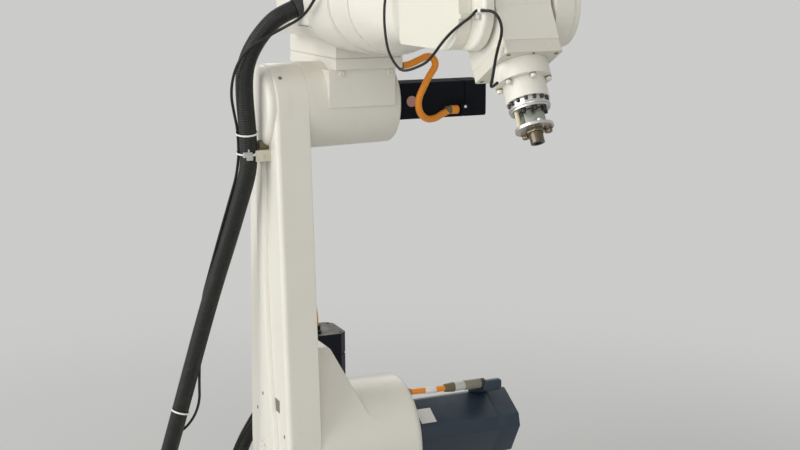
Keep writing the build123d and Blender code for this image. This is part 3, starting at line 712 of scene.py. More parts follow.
@dataclass
class BaseDetails:
    """What the base carries: the inserts of its sockets, the screws of its panel and the air line's nuts."""

    panel: float = -206.0
    socket_floor: float = -212.0
    power: tuple[float, float] = (-28.0, 94.0)
    signal: tuple[float, float] = (28.0, 98.0)
    air: tuple[float, float] = (30.0, 60.0)

    def build(self) -> None:
        """Makes every detail of the base."""
        self.inserts()
        self.panel_screws()
        self.air_line()

    def inserts(self) -> None:
        """The insulators inside the two sockets, with their pins."""
        floor = self.socket_floor
        for name, (y, z), radius, circle, count, pin in (
                ("power_insert", self.power, 15.0, 9.0, 6, 1.6),
                ("signal_insert", self.signal, 12.0, 8.0, 12, 0.8)):
            insert = Bench.rod(name, (floor + 1, y, z), (floor - 2.5, y, z), radius, 32, round_edge=0.6)
            Bench.finish(insert, GLAND_BLACK, Body.BASE, "gland_black")
            model = Bench.rod("pin", (0, 0, 0), (0, 0, 5), pin, 12, pin * 0.8, 0.2)
            frame = stand(mm(floor - 2.5, y, z), Axis.REAR.way)
            places = ring_of(frame, circle, count) + [frame]
            pins = Bench.copies(name.replace("insert", "pins"), model, places)
            Bench.finish(pins, BRIGHT_STEEL, Body.BASE, "tool_steel")

    def panel_screws(self) -> None:
        """The screws at the corners of the panel and round the connectors."""
        spots = [stand(mm(self.panel, y, z), Axis.REAR.way) for y in (-56, 0, 56) for z in (52, 150)]
        Screw(4.2, 2.6, 1.9).build("panel_screws", spots, Body.BASE, "box_grey")

    def air_line(self) -> None:
        """The coupling nut of the air line and the blanked hole of a second one."""
        y, z = self.air
        nut = Hexagon(11.5, 7.0, 0.0, 8.2, BRIGHT_STEEL)
        nut.build("air_nut", [stand(mm(self.panel, y, z), Axis.REAR.way)], Body.BASE, "tool_steel")
        plug = Bench.rod("air_blank", (self.panel + 1, -y, z), (self.panel - 4, -y, z), 8, 6, round_edge=0.6)
        Bench.finish(plug, BRIGHT_STEEL, Body.BASE, "tool_steel")


@dataclass
class ShoulderDetails:
    """What the turret carries: the shoulder motor, screws, a blank label and the terminal box's lid."""

    shoulder: tuple[float, float] = (150.0, 450.0)
    drum_face: float = 125.0
    ring_top: float = 236.0
    ring_radius: float = 124.0
    ring_angles: tuple[float, ...] = (66, 90, 114, 222, 246, 270, 294, 318)
    flange_radius: float = 92.0
    j2_middle: tuple[float, float] = (150.0, 444.0)
    j2_start: float = 137.0
    j2_seam: float = 309.0
    j2_end: float = 355.0
    j2_side: float = 106.0
    j2_edge: float = 18.0
    block_along: tuple[float, float] = (276.0, 316.0)
    j2_turn: float = 15.0
    j1_middle: tuple[float, float] = (-103.0, 52.0)
    j1_top: float = 597.0
    j1_post: tuple[float, float] = (-78.0, 40.0)
    seat: float = 392.0
    box_rear: float = -248.0
    box_y: float = -14.0
    box_low: float = 496.0
    box_top: float = 580.0

    def build(self) -> None:
        """Makes every detail of the turret."""
        self.ring_screws()
        self.reducer_screws()
        self.upright_motor()
        self.shoulder_motor()
        self.terminal_box()
        self.collars()

    def ring_screws(self) -> None:
        """The screws in the top of the turning ring, where the column leaves room."""
        reach, turns = self.ring_radius, [math.radians(a) for a in self.ring_angles]
        places = [stand(mm(reach * math.cos(a), reach * math.sin(a), self.ring_top), Axis.UP.way) for a in turns]
        Screw(6.5, 6.0, 3.4).build("ring_screws", places, Body.TURRET, "tool_steel")

    def reducer_screws(self) -> None:
        """The screws round the shoulder motor's flange."""
        frame = stand(mm(self.shoulder[0], self.drum_face, self.shoulder[1]), Axis.RIGHT.way)
        places = ring_of(frame, self.flange_radius, 12, 15)
        Screw(5.5, 5.0, 2.9).build("shoulder_screws", places, Body.TURRET, "tool_steel")

    def upright_motor(self) -> None:
        """The foot plate of the upright motor, the screws of its top and the nut of its socket."""
        x, y = self.j1_middle
        foot = Bench.block("j1_foot", (x - 51, y - 51, self.seat - 1), (x + 51, y + 51, self.seat + 11), 1.5)
        Bench.finish(foot, PLAIN_MOTOR, Body.TURRET, "motor_black")
        feet = corners((x, y), (43, 43), self.seat + 11, Axis.UP)
        Screw(4.6, 4.0, 2.3).build("j1_foot_screws", feet, Body.TURRET, "tool_steel")
        top = corners((x, y), (37, 37), self.j1_top, Axis.UP)
        Screw(3.6, 1.2, 1.7, DUSTY_MOTOR).build("j1_top_screws", top, Body.TURRET, "motor_black")
        a, b = self.j1_post
        post = Bench.rod("j1_nut", (a, b, self.j1_top), (a, b, self.j1_top + 7), 12.5, 6, round_edge=0.8)
        Bench.finish(post, DUSTY_MOTOR, Body.TURRET, "motor_black")

    def shoulder_motor(self) -> None:
        """The shoulder motor with its end cap, the sloped block under its connector, its screws and its label."""
        x, z = self.j2_middle
        half, corner = self.j2_side / 2, (self.j2_side - self.j2_edge) / math.sqrt(2)
        turn = Matrix.Translation(mm(x, 0, z)) @ Matrix.Rotation(math.radians(30), 4, "Y")
        parts = []
        for start, end, less in ((self.j2_start, self.j2_seam, 0.0), (self.j2_seam - 1, self.j2_seam + 2, 0.8),
                                 (self.j2_seam + 1, self.j2_end, 0.3)):
            case = Bench.block("j2_case", (less - half, start, less - half), (half - less, end, half - less))
            trim = Bench.block("trim", (-corner, start - 1, -corner), (corner, end + 1, corner))
            trim.data.transform(Matrix.Rotation(math.radians(45), 4, "Y"))
            Bench.modify(case, "BOOLEAN", object=trim, operation="INTERSECT", solver="EXACT")
            bpy.data.objects.remove(trim, do_unlink=True)
            Bench.soften(case, 1.6 if less < 0.8 else 0.3)
            case.data.transform(turn)
            parts.append(case)
        motor = Bench.join("j2_case", parts)
        Bench.finish(motor, SLATE_MOTOR, Body.TURRET, "motor_black")
        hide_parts("j2_motor")
        self.connector_block()
        turns = [math.radians(self.j2_turn + 90 * n) for n in range(4)]
        ends = [stand(mm(x + 52 * math.cos(a), self.j2_end - 2.1, z + 52 * math.sin(a)), Axis.RIGHT.way)
                for a in turns]
        Screw(4.4, 2.0, 2.1).build("j2_end_screws", ends, Body.TURRET, "motor_black")
        label = Bench.block("j2_blank_label", (-18, -15.5, -0.4), (18, 15.5, 0.35), 0.2)
        slope = math.radians(60)
        face = Vector((math.cos(slope), 0.0, math.sin(slope)))
        along = Vector((face.z, 0.0, -face.x))
        spot = mm(x, 165.5, z) + face * 53 * MM + along * 8 * MM
        turn = Matrix((along, Axis.RIGHT.way, face)).transposed().to_4x4()
        label.data.transform(Matrix.Translation(spot) @ turn)
        Bench.finish(label, WHITE_PLASTIC, Body.TURRET, "motor_black")

    def connector_block(self) -> None:
        """The low sloped block on the motor that its connector is screwed to."""
        low, high = self.block_along
        shape = Bench.block("j2_connector_block", (138, low, 503), (210, high, 547))
        slope = math.radians(20)
        for place, toward in ((mm(150, 0, 505), (math.sin(slope), 0.0, -math.cos(slope))),
                              (mm(138, 0, 525), (-math.sin(slope), 0.0, math.cos(slope)))):
            Bench.pick(shape)
            bpy.ops.object.mode_set(mode="EDIT")
            bpy.ops.mesh.select_all(action="SELECT")
            bpy.ops.mesh.bisect(plane_co=place, plane_no=toward, use_fill=True, clear_outer=True)
            bpy.ops.object.mode_set(mode="OBJECT")
        Bench.soften(shape, 6.0, 4, 30.0)
        Bench.finish(shape, SLATE_MOTOR, Body.TURRET, "motor_black")

    def terminal_box(self) -> None:
        """The lid of the terminal box with its seam and screws, the bracket's screws and the gland's nut."""
        low = (self.box_rear - 2, self.box_y - 22.5, self.box_low + 1.5)
        high = (self.box_rear + 3, self.box_y + 22.5, self.box_top - 1.5)
        lid = Bench.block("terminal_lid", low, high)
        Bench.step(lid, Axis.REAR.way, 3.0, -0.6)
        Bench.soften(lid, 0.8)
        Bench.finish(lid, GREY_BOX, Body.TURRET, "box_grey")
        middle, half = (self.box_top + self.box_low) / 2, (self.box_top - self.box_low) / 2
        spots = corners((self.box_y, middle), (16, half - 9), self.box_rear - 1.4, Axis.REAR)
        Screw(2.8, 1.6, 1.3).build("terminal_lid_screws", spots, Body.TURRET, "box_grey")
        places = [stand(mm(-166, self.box_y + a * 14, 344), Axis.REAR.way) for a in (-1, 1)]
        Screw(4.2, 4.0, 2.1).build("bracket_screws", places, Body.TURRET, "tool_steel")
        nut = Hexagon(22.0, 9.0, 0.0, 16.2, GLAND_BLACK)
        nut.build("terminal_nut", [stand(mm(-212, self.box_y, 487), Axis.UP.way)], Body.TURRET, "gland_black")

    def collars(self) -> None:
        """The rings where the leads and the sensor's cable go in."""
        Collar("j1_lead_gland", (-131, -37, self.seat), Axis.UP, 5.8, wall=4.0, length=11).build(Body.TURRET)
        Collar("j2_lead_grommet", (200, self.drum_face, 544), Axis.RIGHT, 5.6, OLIVE_GREY, wall=1.4,
               length=1.2).build(Body.TURRET)
        Collar("sensor_gland", (-188, -30, self.box_low), Axis.DOWN, 2.8, wall=3.2, length=8).build(Body.TURRET)


@dataclass
class ArmDetails:
    """What the lower arm carries: the panel of its side, the shoulder's cover, plugs and the conduit's clamp."""

    shoulder: tuple[float, float] = (150.0, 450.0)
    elbow: tuple[float, float] = (150.0, 1090.0)
    side: float = -138.0
    panel: float = -147.0
    cap_radius: float = 74.6
    cover_radius: float = 27.0
    edge: tuple[tuple[float, float], ...] = (
        (62.0, 450), (55.0, 490), (45.0, 540), (39.0, 570), (34.0, 600), (24.0, 690), (18.0, 785), (20.0, 945),
        (20.0, 1040),
    )
    clamp: tuple[float, float] = (179.0, -173.0)

    def build(self) -> None:
        """Makes every detail of the lower arm."""
        self.side_panel()
        self.shoulder_cover()
        self.plugs()
        self.saddle()

    def side_panel(self) -> None:
        """The raised panel of the arm's side, waisted like the casting, with soft edges."""
        x, z = self.shoulder
        foot = self.edge[0][0]
        turns = [math.radians(a) for a in range(-170, 0, 10)]
        outline = [(x + r, level) for r, level in self.edge]
        outline += [(x - r, level) for r, level in reversed(self.edge)]
        outline += [(x + foot * math.cos(a), z + foot * math.sin(a)) for a in turns]
        panel = Bench.rod("side_panel", (x, self.side + 0.5, z), (x, self.side - 1, z), 10, len(outline))
        for end, level in ((0, self.side + 0.5), (1, self.side - 1.5)):
            for n, (a, b) in enumerate(outline):
                panel.data.vertices[2 * n + end].co = mm(a, level, b)
        Bench.pick(panel)
        bpy.ops.object.mode_set(mode="EDIT")
        bpy.ops.mesh.select_all(action="SELECT")
        bpy.ops.mesh.normals_make_consistent(inside=False)
        bpy.ops.object.mode_set(mode="OBJECT")
        rise = self.side - 1.5 - self.panel
        for inset, share in ((1.0, 0.25), (0.8, 0.35), (1.2, 0.25), (2.2, 0.15)):
            Bench.slope(panel, Axis.LEFT.way, inset, rise * share)
        a, b = self.elbow
        Bench.cut(panel, Bench.rod("cap", (a, self.side + 2, b), (a, self.panel - 5, b), self.cap_radius, 96))
        Bench.finish(panel, WHITE, Body.ARM, "arm_paint", 50.0)
        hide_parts("arm_panel")

    def shoulder_cover(self) -> None:
        """The small round cover over the shoulder's axis, and the screws round it."""
        x, z = self.shoulder
        cover = Bench.rod("shoulder_cover", (x, self.panel + 1, z), (x, self.panel - 2.5, z), self.cover_radius, 64)
        Bench.step(cover, Axis.LEFT.way, 4.0, -0.7)
        Bench.soften(cover, 0.6)
        Bench.finish(cover, WHITE, Body.ARM, "arm_paint")
        places = ring_of(stand(mm(x, self.panel - 1.8, z), Axis.LEFT.way), 17, 6, 30)
        Screw(3.4, 1.8, 1.7, CLEAN_WHITE).build("shoulder_cover_screws", places, Body.ARM, "arm_paint")

    def plugs(self) -> None:
        """A dark oblong block at the arm's front edge, painted shade that stands for a recess, and the small plugs
        in its side.
        """
        # Painted shade: the dark block, flush with the side, stands for the shadow in a recess.
        recess = Bench.block("arm_recess_painted_shade", (180, self.side - 0.3, 543.5), (214, self.side + 1, 567), 0.25)
        Bench.slope(recess, Axis.LEFT.way, 1.5, 0.15)
        Bench.finish(recess, GAP_SHADE_AND_PLUG, Body.ARM, "arm_paint")
        left = Axis.LEFT.way
        model = Bench.rod("plug", (0, 0, -1), (0, 0, 0.5), 3.6, 20, round_edge=0.4)
        places = [stand(mm(146, self.panel, 563), left), stand(mm(112, self.panel, 526), left),
                  stand(mm(237, self.side, 507), left), stand(mm(203.5, -120.5, 1144.5), Vector((0.7, 0, 0.71)))]
        Bench.finish(Bench.copies("arm_plugs", model, places), GAP_SHADE_AND_PLUG, Body.ARM, "arm_paint")

    def saddle(self) -> None:
        """The clamp block beside the conduit, the olive pad above it and its screw."""
        x, y = self.clamp
        block = Bench.block("clamp_block", (160, -165, 1000), (197, self.side + 0.4, 1019.5))
        Bench.cut(block, Bench.rod("seat", (x, y, 990), (x, y, 1030), 16.6, 48))
        Bench.soften(block, 1.6)
        Bench.finish(block, BEIGE, Body.ARM, "beige_plastic")
        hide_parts("hose_saddle")
        pad = Bench.block("clamp_pad", (168, -156, 1018.5), (189, self.side + 0.4, 1035), 4.5)
        Bench.finish(pad, OLIVE, Body.ARM, "beige_plastic")
        place = stand(mm(197, -150, 1010), Axis.FRONT.way)
        Screw(3.0, 1.6, 1.4, CHALK).build("clamp_screw", [place], Body.ARM, "tool_steel")


@dataclass
class ElbowDetails:
    """What the elbow carries: the saddle's bolts, the screws of its two motors, a plug, a dark strip of painted
    shade for a slot, and collars.
    """

    elbow: tuple[float, float] = (150.0, 1090.0)
    drum_face: float = 100.0
    j3_end: float = 289.0
    j3_front: float = 183.0
    j3_socket: float = 201.0
    disc: tuple[float, float] = (137.3, 1089.8)
    spot: tuple[float, float] = (237.8, 1077.4)
    bolts: tuple[float, float] = (-16.0, 75.0)
    j4_middle: tuple[float, float] = (18.0, 1307.0)
    j4_end: float = -98.0
    housing_rear: float = 30.0
    plug: Point = (192.0, 212.0, 1072.0)

    def build(self) -> None:
        """Makes every detail of the elbow."""
        self.saddle_bolts()
        self.elbow_motor()
        self.forearm_motor()
        self.slot()
        self.collars()

    def saddle_bolts(self) -> None:
        """The painted bolts in the pockets of the saddle, and the screws round the elbow's motor."""
        seats = [Bench.block("seat", (211, y - 8.02, 1139), (227.46, y + 8.02, 1155.9)) for y in self.bolts]
        Bench.finish(Bench.join("saddle_bolt_seats", seats), WHITE, Body.ELBOW, "cast_paint")
        places = [stand(mm(227.4, y, 1149.5), Axis.FRONT.way) for y in self.bolts]
        Screw(4.8, 3.0, 1.6, CLEAN_WHITE).build("saddle_bolts", places, Body.ELBOW, "tool_steel")
        frame = stand(mm(self.elbow[0], self.drum_face, self.elbow[1]), Axis.RIGHT.way)
        Screw(4.2, 4.0, 2.1).build("elbow_screws", ring_of(frame, 60, 8, 22.5), Body.ELBOW, "tool_steel")

    def elbow_motor(self) -> None:
        """The pale disc on the elbow motor, the white screw on its socket, its end screws and its plug."""
        front, socket = self.j3_front, self.j3_socket
        disc = Bench.rod("j3_disc", (front - 1, *self.disc), (front + 1.2, *self.disc), 10, 32)
        Bench.step(disc, Axis.FRONT.way, 2.0, 0.5)
        Bench.soften(disc, 0.4)
        Bench.finish(disc, PINK, Body.ELBOW, "motor_black")
        spot = Bench.rod("j3_spot", (socket - 1, *self.spot), (socket + 1.2, *self.spot), 2.6, 16, round_edge=0.4)
        Bench.finish(spot, WHITE_PLASTIC, Body.ELBOW, "motor_black")
        ends = corners(self.elbow, (26, 26), self.j3_end, Axis.RIGHT)
        Screw(3.2, 1.5, 1.5).build("j3_end_screws", ends, Body.ELBOW, "motor_black")
        px, py, pz = self.plug
        body = Bench.rod("j3_plug_body", (px, py, pz), (px, py + 13, pz), 8, 28)
        for inset, rise in ((0.8, 1.6), (1.4, 1.0), (2.0, 0.4)):
            Bench.slope(body, Axis.RIGHT.way, inset, rise)
        Bench.soften(body, 0.4)
        Bench.finish(body, ORANGE, Body.ELBOW, "lead_orange")
        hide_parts("j3_plug")

    def forearm_motor(self) -> None:
        """The plate between the housing and the forearm's motor, and the screws of the plate and the motor."""
        y, z = self.j4_middle
        rear = self.housing_rear
        plate = Bench.block("j4_plate", (rear - 9, y - 44, z - 43), (rear + 16, y + 44, z + 43), 3.0)
        Bench.finish(plate, WHITE, Body.ELBOW, "cast_paint")
        for name, level, reach, screw in (("j4_plate_screws", rear - 9, 39.5, Screw(3.4, 2.6, 1.7)),
                                          ("j4_end_screws", self.j4_end, 30.0, Screw(3.4, 1.5, 1.6))):
            screw.build(name, corners(self.j4_middle, (reach, reach), level, Axis.REAR), Body.ELBOW, "motor_black")

    @staticmethod
    def slot() -> None:
        """A dark strip low on the housing's side, painted shade that stands for the shadow line of a groove."""
        # Painted shade: a dark strip stands for the shadow line under the housing's chamfer.
        slot = Bench.block("housing_slot_painted_shade", (188, -79.9, 1232.4), (240, -78.4, 1234.2), 0.4)
        Bench.finish(slot, GAP_SHADE_AND_PLUG, Body.ELBOW, "cast_paint")

    def collars(self) -> None:
        """The rings where the cables go in."""
        Collar("j3_lead_grommet", (221, 98, 1159), Axis.RIGHT, 6.5, length=3.5).build(Body.ELBOW)
        Collar("sensor_grommet", (345, -91.8, 1292), Axis.LEFT, 2.8, length=4).build(Body.ELBOW)


@dataclass
class ForearmDetails:
    """What the forearm carries: the screws of its covers, a plate on its back and the cable's entry."""

    cover: float = -80.0
    cover_row: float = 1328.0
    belt_cover: float = 83.5
    top: float = 1341.0
    wrist: tuple[float, float] = (797.0, 1283.0)

    def build(self) -> None:
        """Makes every detail of the forearm."""
        self.cover_screws()
        self.top_plate()
        Collar("wrist_cable_grommet", (579, -66.4, 1308), Axis.LEFT, 2.3, wall=2.2, length=3).build(
            Body.FOREARM)

    def cover_screws(self) -> None:
        """The screws of the two flat covers."""
        places = [stand(mm(x, self.cover, self.cover_row), Axis.LEFT.way) for x in (636, 698, 760)]
        Screw(3.6, 1.6, 1.7, CLEAN_WHITE).build("side_cover_screws", places, Body.FOREARM, "arm_paint")
        x, z = self.wrist
        spots = []
        for middle, reach, turns in ((x, 48, (0, 55, -55)), (x - 168, 42, (125, 180, 235))):
            spots += [(middle + reach * math.cos(a), z + reach * math.sin(a)) for a in map(math.radians, turns)]
        spots += [(x - 84, z + 45), (x - 84, z - 45)]
        places = [stand(mm(a, self.belt_cover, b), Axis.RIGHT.way) for a, b in spots]
        Screw(3.6, 1.8, 1.7, CLEAN_WHITE).build("belt_cover_screws", places, Body.FOREARM, "arm_paint")

    def top_plate(self) -> None:
        """The blank plate on the forearm's back that tools are hung on."""
        level = self.top + 3.5
        plate = Bench.block("top_plate", (604, -28, self.top - 1), (700, 34, level), 1.2)
        Bench.finish(plate, WHITE, Body.FOREARM, "arm_paint")
        places = corners((652, 3), (40, 23), level, Axis.UP)
        Screw(4.0, 3.0, 2.0).build("top_plate_screws", places, Body.FOREARM, "arm_paint")


@dataclass
class ToolDetails:
    """What the hand and the tool carry: screws on each step, posts, nuts and the nozzle's tip."""

    plate: float = 87.0
    ring: float = 111.0
    reducer: float = 138.0
    disc: float = 152.0
    tool_plate_top: float = 174.0
    tool_plate: float = 178.0
    nozzle: float = 197.0
    cap_circle: float = 33.4
    shade_seat_circle: float = 33.2
    flange_circle: float = 25.6
    rim_radius: float = 28.2
    disc_circle: float = 20.5
    post_circle: float = 22.0
    bolt_circle: float = 21.5
    nut_circle: float = 18.5

    def build(self) -> None:
        """Makes every detail of the hand and the tool."""
        self.hand()
        self.flange()
        self.tool()

    @staticmethod
    def at(distance: float, sideways: float, upward: float) -> Matrix:
        """A place on the tool's axis, moved to the right and up its own frame, in millimetres."""
        return tool_axis(distance) @ Matrix.Translation(mm(upward, -sideways, 0))

    def hand(self) -> None:
        """The screws of the hand's plate and the ring's painted screws, with brown seats under the ring's screws as
        painted shade behind their heads.
        """
        places = [self.at(self.plate, a * 35.5, b) for a in (-1, 1) for b in (39, -47)]
        Screw(2.8, 0.8, 1.3, BROWN_STEEL).build("hand_plate_screws", places, Body.HAND, "tool_steel")
        Screw(1.8, 0.6, 0.8).build("hand_pin", [self.at(self.plate, 0, 42.2)], Body.HAND, "tool_steel")
        face = tool_axis(self.ring)
        caps = ring_of(face, self.cap_circle, 6, 5)
        Screw(3.7, 6.0, 1.8, CLEAN_WHITE).build("ring_cap_screws", caps, Body.HAND, "arm_paint")
        # Painted shade: brown seats under the white cap screws stand for the shade behind their heads.
        seats = ring_of(face, self.shade_seat_circle, 6, 5)
        Hexagon(4.6, 1.4, 0.0, 0.0, BROWN_STEEL).build("ring_screw_shade_seats", seats, Body.HAND, "arm_paint")

    def flange(self) -> None:
        """The dark screws and the bright rim between the reducer and the disc, and the disc's own dark screws."""
        places = ring_of(tool_axis(self.reducer), self.flange_circle, 14, 8)
        Screw(2.5, 4.6, 1.2).build("flange_screws", places, Body.HAND, "tool_steel")
        top = self.disc - self.reducer - 9
        rim = Bench.rod("disc_rim", (0, 0, 1.2), (0, 0, top), self.rim_radius, 64, round_edge=0.8)
        rim.data.transform(tool_axis(self.reducer + 6.2))
        Bench.finish(rim, BRIGHT_STEEL, Body.TOOL, "tool_steel")
        places = ring_of(tool_axis(self.disc), self.disc_circle, 8, 10)
        Screw(3.1, 5.0, 1.5).build("disc_screws", places, Body.TOOL, "tool_steel")

    def tool(self) -> None:
        """The block in the tool's middle, its posts and nuts, the plate's bolts and the nozzle's tip."""
        length = self.tool_plate_top - self.disc
        block = Bench.block("tool_block", (-13.5, -14.5, 0), (13.5, 14.5, length), 2.5)
        block.data.transform(tool_axis(self.disc) @ Matrix.Rotation(math.radians(12), 4, "Z"))
        Bench.finish(block, GREEN_STEEL, Body.TOOL, "tool_steel")
        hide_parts("tool_body")
        post = Bench.rod("post", (0, 0, 0), (0, 0, length), 3.0, 20, round_edge=0.5)
        places = ring_of(tool_axis(self.disc), self.post_circle, 3, 87)[:2]
        Bench.finish(Bench.copies("tool_posts", post, places), IVORY, Body.TOOL, "tool_steel")
        bolts = Hexagon(3.6, 3.4, 4.4, 0.0, BRIGHT_STEEL)
        spots = ring_of(tool_axis(self.tool_plate_top), self.bolt_circle, 1, 5)
        back = [place @ Matrix.Rotation(math.pi, 4, "X") for place in spots]
        bolts.build("tool_plate_bolts", back, Body.TOOL, "tool_steel")
        nuts = Hexagon(5.4, 5.5, 6.4, 0.0, BROWN_STEEL)
        face = tool_axis(self.tool_plate)
        spots = [place for a in (165, 280) for place in ring_of(face, self.nut_circle, 1, a)]
        nuts.build("tool_nuts", spots, Body.TOOL, "tool_steel")
        collar = Bench.rod("nozzle_collar", (0, 0, 0), (0, 0, 4.5), 12.5, 6, round_edge=0.6)
        collar.data.transform(face)
        Bench.finish(collar, BROWN_STEEL, Body.TOOL, "tool_steel")
        tip = Bench.rod("nozzle_tip", (0, 0, -2.2), (0, 0, 0.3), 8.6, 40, 6.6)
        Bench.cut(tip, Bench.rod("bore", (0, 0, -4), (0, 0, 2), 5.0, 24))
        tip.data.transform(tool_axis(self.nozzle))
        Bench.finish(tip, GLAND_BLACK, Body.TOOL, "tool_steel")


@dataclass(frozen=True)
class Hose:
    """A round cable on a given route, plain or ribbed, on one body, or on none where it runs between two."""

    name: str
    node: str
    route: tuple[Point, ...]
    diameter: float
    look: Finish
    slot: str
    bodies: tuple[Body, ...]
    bend: tuple[Point, Point] | None = None
    rib: float = 0.0
    rib_depth: float = 0.0
    sides: int = 20
    spacing: float = 4.0
    far_end: str = "object"
    stiffness: str = "stiff"
    lay: str = "loose"
    carries: tuple[bpy.types.Object, ...] = ()

    def spline(self) -> list[Vector]:
        """The smooth line through space that the cable follows, read from its NURBS spline."""
        data = bpy.data.curves.new(self.name + " line", "CURVE")
        data.dimensions = "3D"
        line = data.splines.new("NURBS")
        line.points.add(len(self.route) - 1)
        for point, place in zip(line.points, self.route):
            point.co = (*mm(*place), 1.0)
        line.order_u = 3
        line.use_endpoint_u = True
        data.resolution_u = 24
        holder = bpy.data.objects.new(self.name + " line", data)
        bpy.context.collection.objects.link(holder)
        bpy.context.view_layer.update()
        read = bpy.data.meshes.new_from_object(holder)
        points = [vertex.co.copy() for vertex in read.vertices]
        bpy.data.objects.remove(holder, do_unlink=True)
        return points

    def rings(self, line: list[Vector]) -> list[tuple[Vector, Vector, float]]:
        """Places along the line with their direction and radius.

        Args:
            line: The points of the line.

        Returns:
            One (centre, direction, radius) for each ring.
        """
        total = sum((b - a).length for a, b in zip(line, line[1:]))
        radius = self.diameter * MM / 2
        if self.rib:
            count = round(total / (self.rib * MM))
            shares = [(n + f) / count for n in range(count) for f in (0.0, 0.25, 0.5, 0.75)] + [1.0]
            inner = radius - self.rib_depth * MM
            radii = [inner, (inner + radius) / 2, radius, (inner + radius) / 2] * count + [inner]
        else:
            count = max(8, round(total / (self.spacing * MM)))
            shares = [n / count for n in range(count + 1)]
            radii = [radius] * len(shares)
        found = []
        walked, index = 0.0, 0
        for share, size in zip(shares, radii):
            goal = share * total
            while index < len(line) - 2 and walked + (line[index + 1] - line[index]).length < goal:
                walked += (line[index + 1] - line[index]).length
                index += 1
            run = line[index + 1] - line[index]
            part = min(1.0, max(0.0, (goal - walked) / run.length))
            before = line[index] - line[max(0, index - 1)]
            after = line[min(len(line) - 1, index + 2)] - line[index + 1]
            heading = (before.normalized() if before.length else run.normalized()) * (1 - part) + run.normalized()
            heading += (after.normalized() if after.length else run.normalized()) * part
            found.append((line[index] + run * part, heading.normalized(), size))
        return found

    def build(self) -> bpy.types.Object:
        line = self.spline()
        rings = self.rings(line)
        side = rings[0][1].orthogonal().normalized()
        points, faces = [], []
        for centre, heading, radius in rings:
            side = (side - heading * side.dot(heading)).normalized()
            other = heading.cross(side)
            for n in range(self.sides):
                angle = 2 * math.pi * n / self.sides
                points.append(centre + radius * (math.cos(angle) * side + math.sin(angle) * other))
        for row in range(len(rings) - 1):
            low, high = row * self.sides, (row + 1) * self.sides
            for n in range(self.sides):
                after = (n + 1) % self.sides
                faces.append((low + n, low + after, high + after, high + n))
        faces.append(tuple(reversed(range(self.sides))))
        faces.append(tuple(range(len(points) - self.sides, len(points))))
        data = bpy.data.meshes.new(self.name)
        data.from_pydata(points, [], faces)
        piece = bpy.data.objects.new(self.name, data)
        bpy.context.collection.objects.link(piece)
        body = self.bodies[0] if len(self.bodies) == 1 else None
        Bench.finish(piece, self.look, body, self.slot, 60.0)
        if body is None:
            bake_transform(piece)
        self.diameter * MM
        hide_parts(self.node)
        return piece


@dataclass(frozen=True)
class Strap:
    """A narrow plastic tie round the conduit and what runs beside it, with its head and its cut tail."""

    name: str
    centre: Point
    heading: Point
    across: Point
    long: float
    short: float
    look: Finish = WHITE_PLASTIC
    width: float = 3.2
    thick: float = 1.1
    head_at: float = 200.0
    head: tuple[float, float, float] = (5.0, 4.0, 4.6)
    tail: float = 9.0

    def build(self, body: Body | None, bend: tuple[Body, Body, Point, Point] | None = None) -> bpy.types.Object:
        """Makes the band as an oval tube with a wall, and adds its head and tail.

        Args:
            body: The body that it rides on, or None where it rides on no body.
            bend: The two bodies and the two points of the conduit's bend; where it is given, the tie's place is
                baked into its mesh.

        Returns:
            The tie.
        """
        Bench.clear()
        bpy.ops.mesh.primitive_cylinder_add(vertices=56, radius=1.0, depth=1.0, end_fill_type="NOTHING",
                                            scale=(self.long * MM, self.short * MM, self.width * MM))
        band = Bench.settle(self.name)
        Bench.modify(band, "SOLIDIFY", thickness=self.thick * MM, offset=1.0)
        Bench.soften(band, 0.35, 2, 50.0)
        angle = math.radians(self.head_at)
        spot = Vector((self.long * math.cos(angle), self.short * math.sin(angle), 0.0))
        outward = Vector((self.short * math.cos(angle), self.long * math.sin(angle), 0.0)).normalized()
        turn = Matrix.Rotation(math.atan2(outward.y, outward.x), 4, "Z")
        deep, wide, high = self.head
        block = Bench.block("head", (-0.3, -wide / 2, -high / 2), (deep, wide / 2, high / 2))
        Bench.step(block, Vector((1, 0, 0)), 1.0, -0.6)
        Bench.soften(block, 0.4)
        tail = Bench.block("tail", (0.5, -0.5, -1.3), (deep + self.tail, 0.5, 1.3))
        with Bench.editing(tail, lambda face: face.normal.x > 0.9):
            bpy.ops.transform.translate(value=(0, 0.003, 0.0025))
        for part in (block, tail):
            part.data.transform(Matrix.Translation(spot * MM) @ turn)
        tie = Bench.join(self.name, [band, block, tail])
        heading = Vector(self.heading).normalized()
        across = (Vector(self.across) - heading * Vector(self.across).dot(heading)).normalized()
        frame = Matrix((across, heading.cross(across), heading)).transposed().to_4x4()
        tie.data.transform(Matrix.Translation(mm(*self.centre)) @ frame)
        Bench.finish(tie, self.look, body, "clip_white")
        if bend is not None:
            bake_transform(tie)
        return tie


